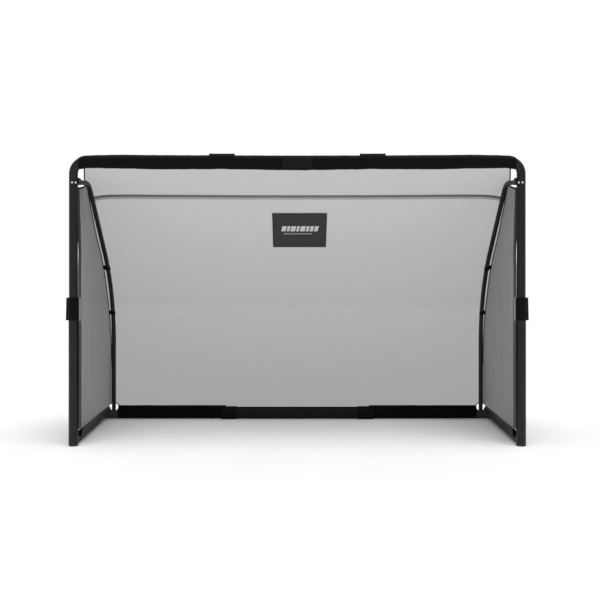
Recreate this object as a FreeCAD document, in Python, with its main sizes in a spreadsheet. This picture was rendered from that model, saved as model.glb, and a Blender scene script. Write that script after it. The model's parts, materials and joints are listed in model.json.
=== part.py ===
"""Sectional steel football goal with a mesh net, as a parametric FreeCAD document.

Millimetres. X runs across the goal, the mouth faces -Y, Z is up, and the origin is at the
bottom centre of the whole goal. Right-hand pieces (+X) are modelled, left-hand ones mirrored.
"""

import FreeCAD, Part
import Sketcher
import math
import os

SIZES = [
    ("goal_width", 2400, "outside of the two legs"),
    ("goal_height", 1520, "floor to the top of the crossbar tube"),
    ("goal_depth", 905, "post axis to rear bar axis"),
    ("base_spread", 60, "rear corner of the base frame, outside the leg"),
    ("leg_od", 50, "lower leg tube"),
    ("leg_wall", 1.5, "lower leg wall"),
    ("leg_top", 735, "top edge of the lower leg"),
    ("slip_gap", 0.7, "radial clearance of the leg joint"),
    ("slip_length", 100, "how far a joint's inner tube goes in"),
    ("upper_wall", 1.2, "corner and crossbar tube wall"),
    ("corner_bend", 70, "centreline radius of the top corners"),
    ("crossbar_joint", 350, "goal centre to the inner end of each corner tube"),
    ("base_od", 38, "base frame tube"),
    ("base_wall", 1.2, "base frame wall"),
    ("base_clear", 11, "floor to the underside of the base frame tube"),
    ("base_bend", 60, "centreline radius of the rear corners"),
    ("rear_joint", 388, "goal centre to the inner end of each base corner tube"),
    ("stub_gap", 0.5, "radial clearance of every other tube joint"),
    ("stub_length", 110, "leg axis to the end of the base stub"),
    ("stub_wall", 1.2, "wall of stubs and spigots"),
    ("stub_button_back", 10, "middle of the stub's overlap to its button"),
    ("hole_run", 5, "how far a drill runs past the surface it opens"),
    ("tube_gap", 9, "leg to the front end of the base tube"),
    ("arc_od", 26, "rear arc tube"),
    ("arc_wall", 1.2, "rear arc wall"),
    ("arc_joint_drop", 130, "top of the crossbar tube to the arc axis at the post"),
    ("arc_rise", 5.5, "climb of the arc's top run, degrees"),
    ("arc_run", 251, "length of the top run from the post axis"),
    ("arc_bend", 100, "centreline radius of the arc's top bend"),
    ("arc_slope", 45, "slope of the straight below that bend, degrees"),
    ("arc_sweep", 795, "centreline radius of the large bend"),
    ("arc_foot_gap", 4, "rear bar to the lower end of the arc"),
    ("foot_button_drop", 4.4, "back net's lower edge down to the arc foot's button"),
    ("foot_stub_length", 78, "height of the arc foot stub above the rear bar"),
    ("saddle_depth", 12, "thickness of the arc bracket behind the post"),
    ("saddle_width", 44, "width of the arc bracket"),
    ("saddle_height", 34, "height of the arc bracket"),
    ("bolt_radius", 3, "arc bracket bolt"),
    ("bolt_head_radius", 5.5, "domed bolt head"),
    ("bolt_head_height", 3.4, "domed bolt head"),
    ("bolt_outer", 1, "outer bolt, outward of the post axis"),
    ("bolt_inner", 17, "inner bolt, inward of the post axis"),
    ("bolt_drop", 11, "arc axis down to the bolts"),
    ("bolt_hole_gap", 0.2, "radial clearance of the bolt holes in a post"),
    ("bolt_seat_gap", 0.05, "clearance under a bolt head and in a bracket"),
    ("bolt_hole_skin", 2, "metal left behind a bolt's blind hole"),
    ("foot_height", 10, "cap below the leg"),
    ("foot_round", 6, "rounding of the cap's lower edge"),
    ("foot_plug", 24, "cap inside the leg"),
    ("button_radius", 4.5, "snap button pin, with a half-round end"),
    ("button_gap", 0.3, "radial clearance of the button holes"),
    ("flange_radius", 6.5, "flange that keeps the button in"),
    ("flange_thick", 1.2, "button flange"),
    ("leaf_width", 9, "button spring strip"),
    ("leaf_thick", 0.8, "button spring strip"),
    ("leaf_length", 26, "button axis to the spring's bend"),
    ("cloth", 2.5, "sleeve and strap thickness"),
    ("soft_gap", 0.8, "space between a soft piece and its neighbour"),
    ("bar_sleeve_slack", 3.2, "crossbar tube to the outside of its sleeve"),
    ("bar_sleeve_drop", 18, "how far a crossbar sleeve hangs below the tube"),
    ("sleeve_break", 20, "joint button to the nearest sleeve end"),
    ("strap_width", 130, "crossbar strap, along the bar"),
    ("strap_gap", 2.5, "crossbar sleeve to the strap round it"),
    ("base_strap_width", 92, "rear bar strap, along the bar"),
    ("post_strap_height", 115, "post strap, along the post"),
    ("post_strap_rise", 43.5, "top of a post strap above the leg's top edge"),
    ("hem_gap", 1, "front webbing to the post strap round it"),
    ("side_sleeve_height", 80, "side sleeve, top to bottom"),
    ("side_sleeve_slack", 2, "base tube to the outside of a side sleeve"),
    ("side_sleeve_start", 90, "leg axis to the front of a side sleeve"),
    ("rear_sleeve_height", 85, "rear sleeve, top to bottom"),
    ("rear_sleeve_slack", 3, "base tube to the outside of a rear sleeve"),
    ("arc_notch", 36, "arc axis to the end of the rear sleeve"),
    ("net_thick", 2, "net panel"),
    ("net_stand", 5, "arc tube to the middle of a net panel"),
    ("net_gap", 3, "space between a net panel and what it hangs from"),
    ("net_edge", 3, "how far the back net reaches past the side of the arc"),
    ("top_net_inset", 58, "arc axis to the side edge of the top net"),
    ("side_net_gap", 10, "leg to a side net's front edge, inward and backward"),
    ("hem_width", 12, "webbing along the front edge of a side net"),
    ("hem_thick", 2, "webbing along the front edge of a side net"),
    ("tab_width", 152, "centre tab on the crossbar"),
    ("tab_height", 50, "centre tab on the crossbar"),
    ("patch_width", 315, "blank patch on the back net"),
    ("patch_height", 250, "blank patch on the back net"),
    ("patch_thick", 1.5, "blank patch on the back net"),
    ("patch_rise", 40, "top of the large bend up to the patch"),
    ("tie_high", 37, "upper arc tie, degrees up the large bend"),
    ("tie_low", 14.5, "lower arc tie, degrees up the large bend"),
    ("tie_width", 20, "arc tie, along the tube"),
]

# Places worked out from the sizes. Each row may use the rows above it.
PLACES = [
    ("upper_od", "sizes.leg_od - 2 * sizes.leg_wall - 2 * sizes.slip_gap"),
    ("front_reach", "sizes.leg_od / 2 + sizes.soft_gap + sizes.cloth"),
    ("bar_sleeve_radius", "upper_od / 2 + sizes.bar_sleeve_slack"),
    ("side_sleeve_radius", "sizes.base_od / 2 + sizes.side_sleeve_slack"),
    ("rear_sleeve_radius", "sizes.base_od / 2 + sizes.rear_sleeve_slack"),
    ("rear_reach", "rear_sleeve_radius + sizes.soft_gap + sizes.cloth"),
    ("post_x", "(sizes.goal_width - sizes.leg_od) / 2"),
    ("post_y", "(front_reach - rear_reach - sizes.goal_depth) / 2"),
    ("rear_y", "post_y + sizes.goal_depth"),
    ("rear_x", "sizes.goal_width / 2 + sizes.base_spread - sizes.base_od / 2"),
    ("bar_z", "sizes.goal_height - upper_od / 2"),
    ("flare", "atan((rear_x - post_x) / sizes.goal_depth) / 1 deg"),
    ("bend_reach", "sizes.base_bend * tan((90 + flare) / 2)"),
    ("upper_spigot", "upper_od / 2 - sizes.upper_wall - sizes.stub_gap"),
    ("base_spigot", "sizes.base_od / 2 - sizes.base_wall - sizes.stub_gap"),
    ("arc_spigot", "sizes.arc_od / 2 - sizes.arc_wall - sizes.stub_gap"),
    ("leg_button_z", "sizes.leg_top - sizes.slip_length / 2"),
    ("tube_start", "sizes.leg_od / 2 + sizes.tube_gap"),
    ("stub_button", "(tube_start + sizes.stub_length) / 2 - sizes.stub_button_back"),
    ("base_axis", "sizes.base_clear + sizes.base_od / 2"),
    ("arc_foot_z", "base_axis + sizes.base_od / 2 + sizes.arc_foot_gap"),
    ("run_end_y", "sizes.arc_run * cos(sizes.arc_rise)"),
    ("arc_joint_z", "sizes.goal_height - sizes.arc_joint_drop"),
    ("bolt_z", "arc_joint_z - sizes.bolt_drop"),
    ("run_end_z", "arc_joint_z + sizes.arc_run * sin(sizes.arc_rise)"),
    ("bend_y", "run_end_y + sizes.arc_bend * sin(sizes.arc_rise)"),
    ("bend_z", "run_end_z - sizes.arc_bend * cos(sizes.arc_rise)"),
    ("bend_end_y", "bend_y + sizes.arc_bend * sin(sizes.arc_slope)"),
    ("bend_end_z", "bend_z + sizes.arc_bend * cos(sizes.arc_slope)"),
    ("sweep_y", "sizes.goal_depth - sizes.arc_sweep"),
    ("sweep_start_y", "sweep_y + sizes.arc_sweep * sin(sizes.arc_slope)"),
    ("sweep_start_z", "bend_end_z - (sweep_start_y - bend_end_y) * tan(sizes.arc_slope)"),
    ("sweep_z", "sweep_start_z - sizes.arc_sweep * cos(sizes.arc_slope)"),
    ("slope_length", "(sweep_start_y - bend_end_y) / cos(sizes.arc_slope)"),
    ("sleeve_lift", "sizes.cloth + sizes.soft_gap"),
    ("side_top", "sleeve_lift + sizes.side_sleeve_height"),
    ("rear_top", "sleeve_lift + sizes.rear_sleeve_height"),
    ("strap_top", "rear_top + sizes.soft_gap + sizes.cloth"),
    ("net_bottom", "strap_top + sizes.soft_gap"),
    ("foot_button_z", "net_bottom - sizes.foot_button_drop"),
    ("net_offset", "sizes.arc_od / 2 + sizes.net_stand"),
    ("net_reach", "sizes.arc_od / 2 + sizes.net_edge"),
    ("net_inside", "net_offset - sizes.net_thick / 2"),
]

doc = FreeCAD.newDocument("football_goal")


def write_sheet(name, rows, mark):
    """A spreadsheet of named values, one row each."""
    sheet = doc.addObject("Spreadsheet::Sheet", name)
    for number, (alias, value, *note) in enumerate(rows, 1):
        sheet.set(f"A{number}", alias)
        sheet.set(f"B{number}", f"{mark}{value}")
        sheet.setAlias(f"B{number}", alias)
        if note:
            sheet.set(f"C{number}", note[0])
    doc.recompute()
    return sheet


sizes = write_sheet("sizes", SIZES, "")
places = write_sheet("places", PLACES, "=")


def value(expression):
    """The number that an expression gives now, for a sketch's first guess."""
    return float(places.evalExpression(str(expression)))


# ---------------------------------------------------------------- helpers

UPRIGHT = "rotation(vector(0; 0; 1); 0)"
ALONG_X = "rotation(vector(0; 1; 0); 90)"
ALONG_Y = "rotation(vector(1; 0; 0); -90)"
ACROSS = "rotation(vector(1; 0; 0); 90)"
FLARE_TURN = "rotation(vector(0; 0; 1); -places.flare)"


def placed(thing, x, y, z, turn=UPRIGHT):
    """Binds an object's placement to a point and a turn."""
    thing.setExpression("Placement", f"placement(vector({x}; {y}; {z}); {turn})")
    return thing


def bound(kind, name, **dimensions):
    """A Part primitive whose dimensions are bound to expressions."""
    thing = doc.addObject(kind, name)
    for dimension, expression in dimensions.items():
        thing.setExpression(dimension, str(expression))
    return thing


def cylinder(radius, height, x=0, y=0, z=0, turn=UPRIGHT):
    return placed(bound("Part::Cylinder", "rod", Radius=radius, Height=height), x, y, z, turn)


def box(length, width, height, x=0, y=0, z=0, turn=UPRIGHT):
    solid = bound("Part::Box", "block", Length=length, Width=width, Height=height)
    return placed(solid, x, y, z, turn)


def joined(*parts):
    if len(parts) == 1:
        return parts[0]
    fuse = doc.addObject("Part::MultiFuse", "join")
    fuse.Shapes = list(parts)
    return fuse


def cut(base, *tools):
    result = doc.addObject("Part::Cut", "cut")
    result.Base = base
    result.Tool = joined(*tools)
    return result


def mirrored(thing):
    result = doc.addObject("Part::Mirroring", "mirror")
    result.Source = thing
    result.Normal = (1, 0, 0)
    return result


NODES = {}


def node(label, thing):
    thing.Label = label
    NODES[label] = thing
    return thing


def pair(label, right):
    """A right-hand piece and its mirror image on the left."""
    node(f"{label}_right", right)
    node(f"{label}_left", mirrored(right))


def draw(body, plane, start, steps, closed=False):
    """A sketch on one of the body's planes, with every vertex pinned to two expressions.

    A step is an end point, or an end point, a centre and 1 or -1 for an arc that turns
    anticlockwise or clockwise.
    """
    sketch = body.newObject("Sketcher::SketchObject", "profile")
    origin = {item.Role: item for item in body.Origin.OriginFeatures}
    sketch.AttachmentSupport = [(origin[plane], "")]
    sketch.MapMode = "FlatFace"
    outline(sketch, start, steps, closed)
    return sketch


def outline(sketch, start, steps, closed=False):
    """Adds one run of lines and arcs to a sketch."""
    def pin(kind, index, point, coordinate):
        place = sketch.addConstraint(
            Sketcher.Constraint(kind, -1, 1, index, point, value(coordinate))
        )
        sketch.setExpression(f"Constraints[{place}]", str(coordinate))

    def spot(point):
        return FreeCAD.Vector(value(point[0]), value(point[1]), 0)

    first = last = None
    here = start
    for step in steps:
        end = step[:2]
        if len(step) == 2:
            index = sketch.addGeometry(Part.LineSegment(spot(here), spot(end)))
            ends = (1, 2)
        else:
            centre = spot(step[2:4])
            a, b = spot(here) - centre, spot(end) - centre
            turn = step[4]
            low, high = (a, b) if turn > 0 else (b, a)
            angles = [math.atan2(v.y, v.x) for v in (low, high)]
            if angles[1] < angles[0]:
                angles[1] += 2 * math.pi
            circle = Part.Circle(centre, FreeCAD.Vector(0, 0, 1), a.Length)
            index = sketch.addGeometry(Part.ArcOfCircle(circle, *angles))
            ends = (1, 2) if turn > 0 else (2, 1)
            flat = abs(b.x - a.x) > abs(b.y - a.y)
            pin("DistanceY" if flat else "DistanceX", index, 3, step[3] if flat else step[2])
        if last is None:
            first = (index, ends[0])
            pin("DistanceX", index, ends[0], here[0])
            pin("DistanceY", index, ends[0], here[1])
        else:
            sketch.addConstraint(Sketcher.Constraint("Coincident", *last, index, ends[0]))
        last = (index, ends[1])
        if closed and step is steps[-1]:
            sketch.addConstraint(Sketcher.Constraint("Coincident", *last, *first))
        else:
            pin("DistanceX", index, ends[1], end[0])
            pin("DistanceY", index, ends[1], end[1])
        here = end


def bent_tube(path_plane, start, steps, ring_plane, ring_at, outside, wall):
    """A tube swept along a path, from a ring sketch at the path's start."""
    body = doc.addObject("PartDesign::Body", "bent_tube")
    path = draw(body, path_plane, start, steps)
    ring = body.newObject("Sketcher::SketchObject", "ring")
    origin = {item.Role: item for item in body.Origin.OriginFeatures}
    ring.AttachmentSupport = [(origin[ring_plane], "")]
    ring.MapMode = "FlatFace"
    ring.setExpression("AttachmentOffset", ring_at)
    for radius in (f"{outside} / 2", f"{outside} / 2 - {wall}"):
        circle = Part.Circle(FreeCAD.Vector(), FreeCAD.Vector(0, 0, 1), value(radius))
        index = ring.addGeometry(circle)
        ring.addConstraint(Sketcher.Constraint("Coincident", index, 3, -1, 1))
        place = ring.addConstraint(Sketcher.Constraint("Radius", index, value(radius)))
        ring.setExpression(f"Constraints[{place}]", radius)
    doc.recompute()
    pipe = body.newObject("PartDesign::AdditivePipe", "pipe")
    pipe.Profile = ring
    pipe.Spine = (path, [f"Edge{i + 1}" for i in range(len(steps))])
    pipe.Transition = "Transformed"
    return body


def stadium(width_radius, drop, length, x, y, z, turn):
    """An upright oval bar along its own Z, with its upper centre at the point given."""
    place = f"placement(vector({x}; {y}; {z}); {turn})"
    top = cylinder(width_radius, length)
    low = cylinder(width_radius, length, 0, f"-({drop})")
    web = box(f"2 * ({width_radius})", drop, length, f"-({width_radius})", f"-({drop})")
    bar = joined(top, low, web)
    bar.setExpression("Placement", place)
    return bar


def band(width_radius, drop, length, thick, x, y, z, turn):
    """A hollow oval band of cloth, open at both ends."""
    inside = stadium(f"{width_radius} - {thick}", drop, length, x, y, z, turn)
    return cut(stadium(width_radius, drop, length, x, y, z, turn), inside)


# Turns that put a band's long way upright: along X, along Y flared, and along Z lying out in X.
BAND_X = "rotation(vector(0; 0; 1); 90) * rotation(vector(1; 0; 0); 90)"
BAND_Y = f"{FLARE_TURN} * rotation(vector(0; 0; 1); 180) * rotation(vector(1; 0; 0); 90)"
BAND_Z = "rotation(vector(0; 0; 1); 90)"


# ---------------------------------------------------------------- frame tubes

HOLE = "sizes.button_radius + sizes.button_gap"
FLARE_TUBE = f"{FLARE_TURN} * {ALONG_Y}"
BUTTON_TURNS = {
    "out": ALONG_X,
    "back": ALONG_Y,
    "up": UPRIGHT,
    "flare": f"{FLARE_TURN} * rotation(vector(1; 1; 1); 120)",
    "foot": "rotation(vector(1; 1; 1); 240)",
}
BAR_BUTTON_X = "sizes.crossbar_joint + sizes.slip_length / 2"
REAR_BUTTON_X = "sizes.rear_joint + sizes.slip_length / 2"
STUB_X = "places.post_x + places.stub_button * sin(places.flare)"
STUB_Y = "places.post_y + places.stub_button * cos(places.flare)"

# name: (x, y, z, turn, bore of the inner tube, inner surface, outer surface)
JOINTS = {
    "leg": ("places.post_x", "places.post_y", "places.leg_button_z", "out",
            "places.upper_od / 2 - sizes.upper_wall", "places.upper_od / 2",
            "sizes.leg_od / 2"),
    "crossbar": (BAR_BUTTON_X, "places.post_y", "places.bar_z", "back",
                 "places.upper_spigot - sizes.stub_wall", "places.upper_spigot",
                 "places.upper_od / 2"),
    "rear_bar": (REAR_BUTTON_X, "places.rear_y", "places.base_axis", "up",
                 "places.base_spigot - sizes.stub_wall", "places.base_spigot",
                 "sizes.base_od / 2"),
    "side_bar": (STUB_X, STUB_Y, "places.base_axis", "flare",
                 "places.base_spigot - sizes.stub_wall", "places.base_spigot",
                 "sizes.base_od / 2"),
    "arc_foot": ("places.post_x", "places.rear_y", "places.foot_button_z", "foot",
                 "places.arc_spigot - sizes.stub_wall", "places.arc_spigot",
                 "sizes.arc_od / 2"),
}


def button_hole(name, mirror=False):
    """A drill from a joint's axis outwards."""
    x, y, z, turn, bore, inner, outer = JOINTS[name]
    drill = cylinder(HOLE, f"{outer} + sizes.hole_run", x, y, z, BUTTON_TURNS[turn])
    return mirrored(drill) if mirror else drill


def corner_tubes():
    """Bent upper tube: down into the leg, round the corner and along the crossbar."""
    foot = "sizes.leg_top - sizes.slip_length"
    turn_z = "places.bar_z - sizes.corner_bend"
    turn_x = "places.post_x - sizes.corner_bend"
    body = bent_tube(
        "XZ_Plane",
        ("places.post_x", foot),
        [
            ("places.post_x", turn_z),
            (turn_x, "places.bar_z", turn_x, turn_z, 1),
            ("sizes.crossbar_joint", "places.bar_z"),
        ],
        "XY_Plane",
        f"placement(vector(places.post_x; 0; {foot}); rotation(vector(0; 0; 1); 0))",
        "places.upper_od",
        "sizes.upper_wall",
    )
    body.setExpression("Placement.Base.y", "places.post_y")
    holes = [button_hole("leg"), button_hole("crossbar")]
    for offset in ("sizes.bolt_outer", "-sizes.bolt_inner"):
        holes.append(
            cylinder("sizes.bolt_radius + sizes.bolt_hole_gap",
                     "places.upper_od + 2 * sizes.hole_run", f"places.post_x + {offset}",
                     "places.post_y - places.upper_od / 2 - sizes.hole_run",
                     "places.bolt_z", ALONG_Y)
        )
    pair("corner_tube", cut(body, *holes))


def middle_tube(label, joint, outside, spigot, y, z, joint_name):
    """A straight tube whose two reduced ends slide into its neighbours."""
    main = cylinder(f"{outside} / 2", f"2 * {joint}", f"-{joint}", y, z, ALONG_X)
    reach = f"({joint} + sizes.slip_length)"
    ends = cylinder(spigot, f"2 * {reach}", f"-{reach}", y, z, ALONG_X)
    bore = cylinder(f"{spigot} - sizes.stub_wall", f"2 * {reach}", f"-{reach}", y, z, ALONG_X)
    tools = (bore, button_hole(joint_name), button_hole(joint_name, mirror=True))
    node(label, cut(joined(main, ends), *tools))


def lower_legs():
    """Leg tube with a stub, welded on near the floor, that carries the base frame."""
    height = "sizes.leg_top - sizes.foot_height"
    at = ("places.post_x", "places.post_y")
    shell = cylinder("sizes.leg_od / 2", height, *at, "sizes.foot_height")
    bore = cylinder("sizes.leg_od / 2 - sizes.leg_wall", height, *at, "sizes.foot_height")
    stub = cylinder("places.base_spigot", "sizes.stub_length", *at, "places.base_axis", FLARE_TUBE)
    weld = "(sizes.leg_od / 2 + sizes.stub_wall)"
    hollow = cylinder(
        "places.base_spigot - sizes.stub_wall", f"sizes.stub_length - {weld}",
        f"places.post_x + {weld} * sin(places.flare)",
        f"places.post_y + {weld} * cos(places.flare)", "places.base_axis", FLARE_TUBE,
    )
    leg = cut(joined(shell, stub), bore, hollow, button_hole("leg"), button_hole("side_bar"))
    pair("lower_leg", leg)


def foot_caps():
    """Round plug with a rounded sole, pushed into the bottom of each leg."""
    body = doc.addObject("PartDesign::Body", "foot_cap")
    radius, low = "sizes.leg_od / 2", "sizes.foot_round"
    plug = "sizes.leg_od / 2 - sizes.leg_wall - sizes.button_gap"
    top = "sizes.foot_height + sizes.foot_plug"
    profile = draw(
        body, "XZ_Plane", (0, 0),
        [
            (f"{radius} - {low}", 0),
            (radius, low, f"{radius} - {low}", low, 1),
            (radius, "sizes.foot_height"),
            (plug, "sizes.foot_height"),
            (plug, top),
            (0, top),
            (0, 0),
        ],
        closed=True,
    )
    doc.recompute()
    turned = body.newObject("PartDesign::Revolution", "turned")
    turned.Profile = profile
    turned.ReferenceAxis = (profile, ["V_Axis"])
    turned.Angle = 360
    body.setExpression("Placement.Base.x", "places.post_x")
    body.setExpression("Placement.Base.y", "places.post_y")
    pair("foot_cap", body)


def base_corner_tubes():
    """Side bar and rear corner in one bent tube, with the arc's stub welded on top."""
    start_x = "places.post_x + places.tube_start * sin(places.flare)"
    start_y = "places.post_y + places.tube_start * cos(places.flare)"
    side_x = "places.rear_x - places.bend_reach * sin(places.flare)"
    side_y = "places.rear_y - places.bend_reach * cos(places.flare)"
    back_x = "places.rear_x - places.bend_reach"
    body = bent_tube(
        "XY_Plane",
        (start_x, start_y),
        [
            (side_x, side_y),
            (back_x, "places.rear_y", back_x, "places.rear_y - sizes.base_bend", 1),
            ("sizes.rear_joint", "places.rear_y"),
        ],
        "XZ_Plane",
        f"placement(vector({start_x}; 0; -({start_y})); rotation(vector(0; 1; 0); -places.flare))",
        "sizes.base_od",
        "sizes.base_wall",
    )
    body.setExpression("Placement.Base.z", "places.base_axis")
    rise = "(sizes.base_od / 2 + sizes.foot_stub_length)"
    at = ("places.post_x", "places.rear_y")
    wall = "(sizes.base_od / 2 - sizes.base_wall / 2)"
    stub = cylinder("places.arc_spigot", f"{rise} - {wall}", *at, f"places.base_axis + {wall}")
    bore = cylinder("places.arc_spigot - sizes.stub_wall", f"{rise} - sizes.base_od / 2", *at,
                    "places.base_axis + sizes.base_od / 2")
    holes = [bore, button_hole("side_bar"), button_hole("rear_bar"), button_hole("arc_foot")]
    pair("base_corner_tube", cut(joined(body, stub), *holes))


def rear_arcs():
    """Rear arc: out of the post, over the top bend, down the slope and large bend to its foot."""
    start = "(places.upper_od / 2 + sizes.saddle_depth + sizes.arc_foot_gap)"
    y0 = f"{start} * cos(sizes.arc_rise)"
    z0 = f"places.arc_joint_z + {start} * sin(sizes.arc_rise)"
    body = bent_tube(
        "YZ_Plane",
        (y0, z0),
        [
            ("places.run_end_y", "places.run_end_z"),
            ("places.bend_end_y", "places.bend_end_z", "places.bend_y", "places.bend_z", -1),
            ("places.sweep_start_y", "places.sweep_start_z"),
            ("sizes.goal_depth", "places.sweep_z", "places.sweep_y", "places.sweep_z", -1),
            ("sizes.goal_depth", "places.arc_foot_z"),
        ],
        "XZ_Plane",
        f"placement(vector(0; {z0}; -({y0})); rotation(vector(1; 0; 0); sizes.arc_rise))",
        "sizes.arc_od",
        "sizes.arc_wall",
    )
    body.setExpression("Placement.Base.x", "places.post_x")
    body.setExpression("Placement.Base.y", "places.post_y")
    pair("rear_arc", cut(body, button_hole("arc_foot")))


def arc_brackets():
    """Saddle behind each post, bolted through it, with a stub that holds the arc."""
    left = "(sizes.saddle_width - sizes.bolt_outer + sizes.bolt_inner) / 2"
    block = box(
        "sizes.saddle_width", "places.upper_od / 2 + sizes.saddle_depth", "sizes.saddle_height",
        f"places.post_x - {left}", "places.post_y",
        "places.arc_joint_z - sizes.saddle_height / 2",
    )
    turn = f"rotation(vector(1; 0; 0); sizes.arc_rise) * {ALONG_Y}"
    stub_end = "(places.upper_od / 2 + sizes.saddle_depth + sizes.slip_length / 2)"
    at = ("places.post_x", "places.post_y", "places.arc_joint_z")
    stub = cylinder("places.arc_spigot", stub_end, *at, turn)
    post = cylinder(
        "places.upper_od / 2 + sizes.button_gap", "3 * sizes.saddle_height",
        "places.post_x", "places.post_y", "places.arc_joint_z - 1.5 * sizes.saddle_height",
    )
    first = "(places.upper_od / 2 + sizes.saddle_depth)"
    bore = cylinder(
        "places.arc_spigot - sizes.stub_wall", f"{stub_end} - {first}",
        "places.post_x", f"places.post_y + {first} * cos(sizes.arc_rise)",
        f"places.arc_joint_z + {first} * sin(sizes.arc_rise)", turn,
    )
    behind = box("sizes.saddle_width * 2", "sizes.saddle_width", "sizes.saddle_height * 2",
                 "places.post_x - sizes.saddle_width", "places.post_y - sizes.saddle_width",
                 "places.arc_joint_z - sizes.saddle_height")
    tools = [post, bore, behind]
    for offset in ("sizes.bolt_outer", "-sizes.bolt_inner"):
        tools.append(
            cylinder("sizes.bolt_radius + sizes.bolt_seat_gap",
                     "places.upper_od / 2 + sizes.saddle_depth - sizes.bolt_hole_skin",
                     f"places.post_x + {offset}", "places.post_y", "places.bolt_z", ALONG_Y)
        )
    pair("arc_bracket", cut(joined(block, stub), *tools))


def arc_bolts():
    """Four identical domed bolts, two through each post into its bracket."""
    bolts = []
    radius = "places.upper_od / 2"
    for offset, near in (("sizes.bolt_outer", "0"),
                         ("-sizes.bolt_inner", "(sizes.bolt_inner - sizes.bolt_head_radius)")):
        seat = f"(sqrt({radius} * {radius} - {near} * {near}) + sizes.bolt_seat_gap)"
        x, y = f"places.post_x + {offset}", f"places.post_y - {seat}"
        shank = cylinder("sizes.bolt_radius", "places.upper_od + sizes.saddle_depth / 2",
                         x, y, "places.bolt_z", ALONG_Y)
        head = bound("Part::Ellipsoid", "dome", Radius1="sizes.bolt_head_height",
                     Radius2="sizes.bolt_head_radius", Radius3="sizes.bolt_head_radius",
                     Angle1="0", Angle2="90")
        placed(head, x, y, "places.bolt_z", ACROSS)
        bolts.append(joined(shank, head))
    group = doc.addObject("Part::Compound", "bolts")
    group.Links = bolts + [mirrored(bolt) for bolt in bolts]
    node("arc_bolts", group)


# ---------------------------------------------------------------- snap buttons

def snap_buttons():
    """A spring-loaded button and its leaf spring in every slip joint."""
    for name, (x, y, z, turn, bore, inner, outer) in JOINTS.items():
        place = f"placement(vector({x}; {y}; {z}); {BUTTON_TURNS[turn]})"
        seat = f"sqrt(({bore}) * ({bore}) - sizes.flange_radius * sizes.flange_radius)"
        seat = f"({seat} - sizes.button_gap)"
        pin = cylinder("sizes.button_radius", f"{outer} - {seat}", z=seat)
        flange = cylinder("sizes.flange_radius", "sizes.flange_thick",
                          z=f"{seat} - sizes.flange_thick")
        dome = bound("Part::Sphere", "dome", Radius="sizes.button_radius", Angle1="0",
                     Angle2="90")
        placed(dome, 0, 0, outer)
        button = joined(flange, pin, dome)
        button.setExpression("Placement", place)
        pair(f"{name}_button", button)

        top = f"({seat} - sizes.flange_thick - sizes.button_gap)"
        low = f"(sqrt(({bore}) * ({bore}) - sizes.leaf_width * sizes.leaf_width / 4)"
        low = f"(-1 * {low} - sizes.button_gap))"
        half = "sizes.leaf_width / 2"
        tail = "sizes.leaf_length"
        upper = box(f"{tail} + sizes.flange_radius", "sizes.leaf_width", "sizes.leaf_thick",
                    "-sizes.flange_radius", f"-{half}", f"{top} - sizes.leaf_thick")
        lower = box(tail, "sizes.leaf_width", "sizes.leaf_thick", 0, f"-{half}", low)
        radius = f"(({top} - {low}) / 2)"
        middle = f"({low} + {radius})"
        bend = cut(cylinder(radius, "sizes.leaf_width", tail, half, middle, ACROSS),
                   cylinder(f"{radius} - sizes.leaf_thick", "sizes.leaf_width", tail, half,
                            middle, ACROSS),
                   box(f"2 * {radius}", "2 * sizes.leaf_width", f"4 * {radius}",
                       f"{tail} - 2 * {radius}", "-sizes.leaf_width",
                       f"{middle} - 2 * {radius}"))
        spring = joined(upper, lower, bend)
        spring.setExpression("Placement", place)
        pair(f"{name}_button_spring", spring)


# ---------------------------------------------------------------- soft pieces

def crossbar_sleeves():
    """Cloth sleeves that hang the net from the crossbar, and the straps over its joints."""
    at = ("places.post_y", "places.bar_z", BAND_X)
    outer_end = "(places.post_x - sizes.corner_bend)"
    near = f"({BAR_BUTTON_X} + sizes.sleeve_break)"
    far = f"({BAR_BUTTON_X} - sizes.sleeve_break)"
    size = ("places.bar_sleeve_radius", "sizes.bar_sleeve_drop")
    pair("crossbar_sleeve", band(*size, f"{outer_end} - {near}", "sizes.cloth", near, *at))
    node("crossbar_sleeve_middle", band(*size, f"2 * {far}", "sizes.cloth", f"-{far}", *at))
    wrap = "places.bar_sleeve_radius + sizes.strap_gap + sizes.cloth"
    start = f"{BAR_BUTTON_X} - sizes.strap_width / 2"
    pair("crossbar_strap",
         band(wrap, "sizes.bar_sleeve_drop", "sizes.strap_width", "sizes.cloth", start, *at))
    front = "places.post_y - places.bar_sleeve_radius - sizes.soft_gap - sizes.cloth"
    node("crossbar_tab", box(
        "sizes.tab_width", "sizes.cloth", "sizes.tab_height", "-sizes.tab_width / 2", front,
        "places.bar_z - sizes.bar_sleeve_drop - places.bar_sleeve_radius"))


def post_straps():
    """Wide straps over the leg joints, which also hold the net's front webbing."""
    reach = "(sizes.hem_width + sizes.hem_gap)"
    radius = "sizes.leg_od / 2 + sizes.soft_gap + sizes.cloth"
    pair("post_strap", band(
        radius, f"2 * {reach}", "sizes.post_strap_height", "sizes.cloth",
        f"places.post_x - {reach}", "places.post_y",
        "sizes.leg_top + sizes.post_strap_rise - sizes.post_strap_height", BAND_Z))


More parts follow.
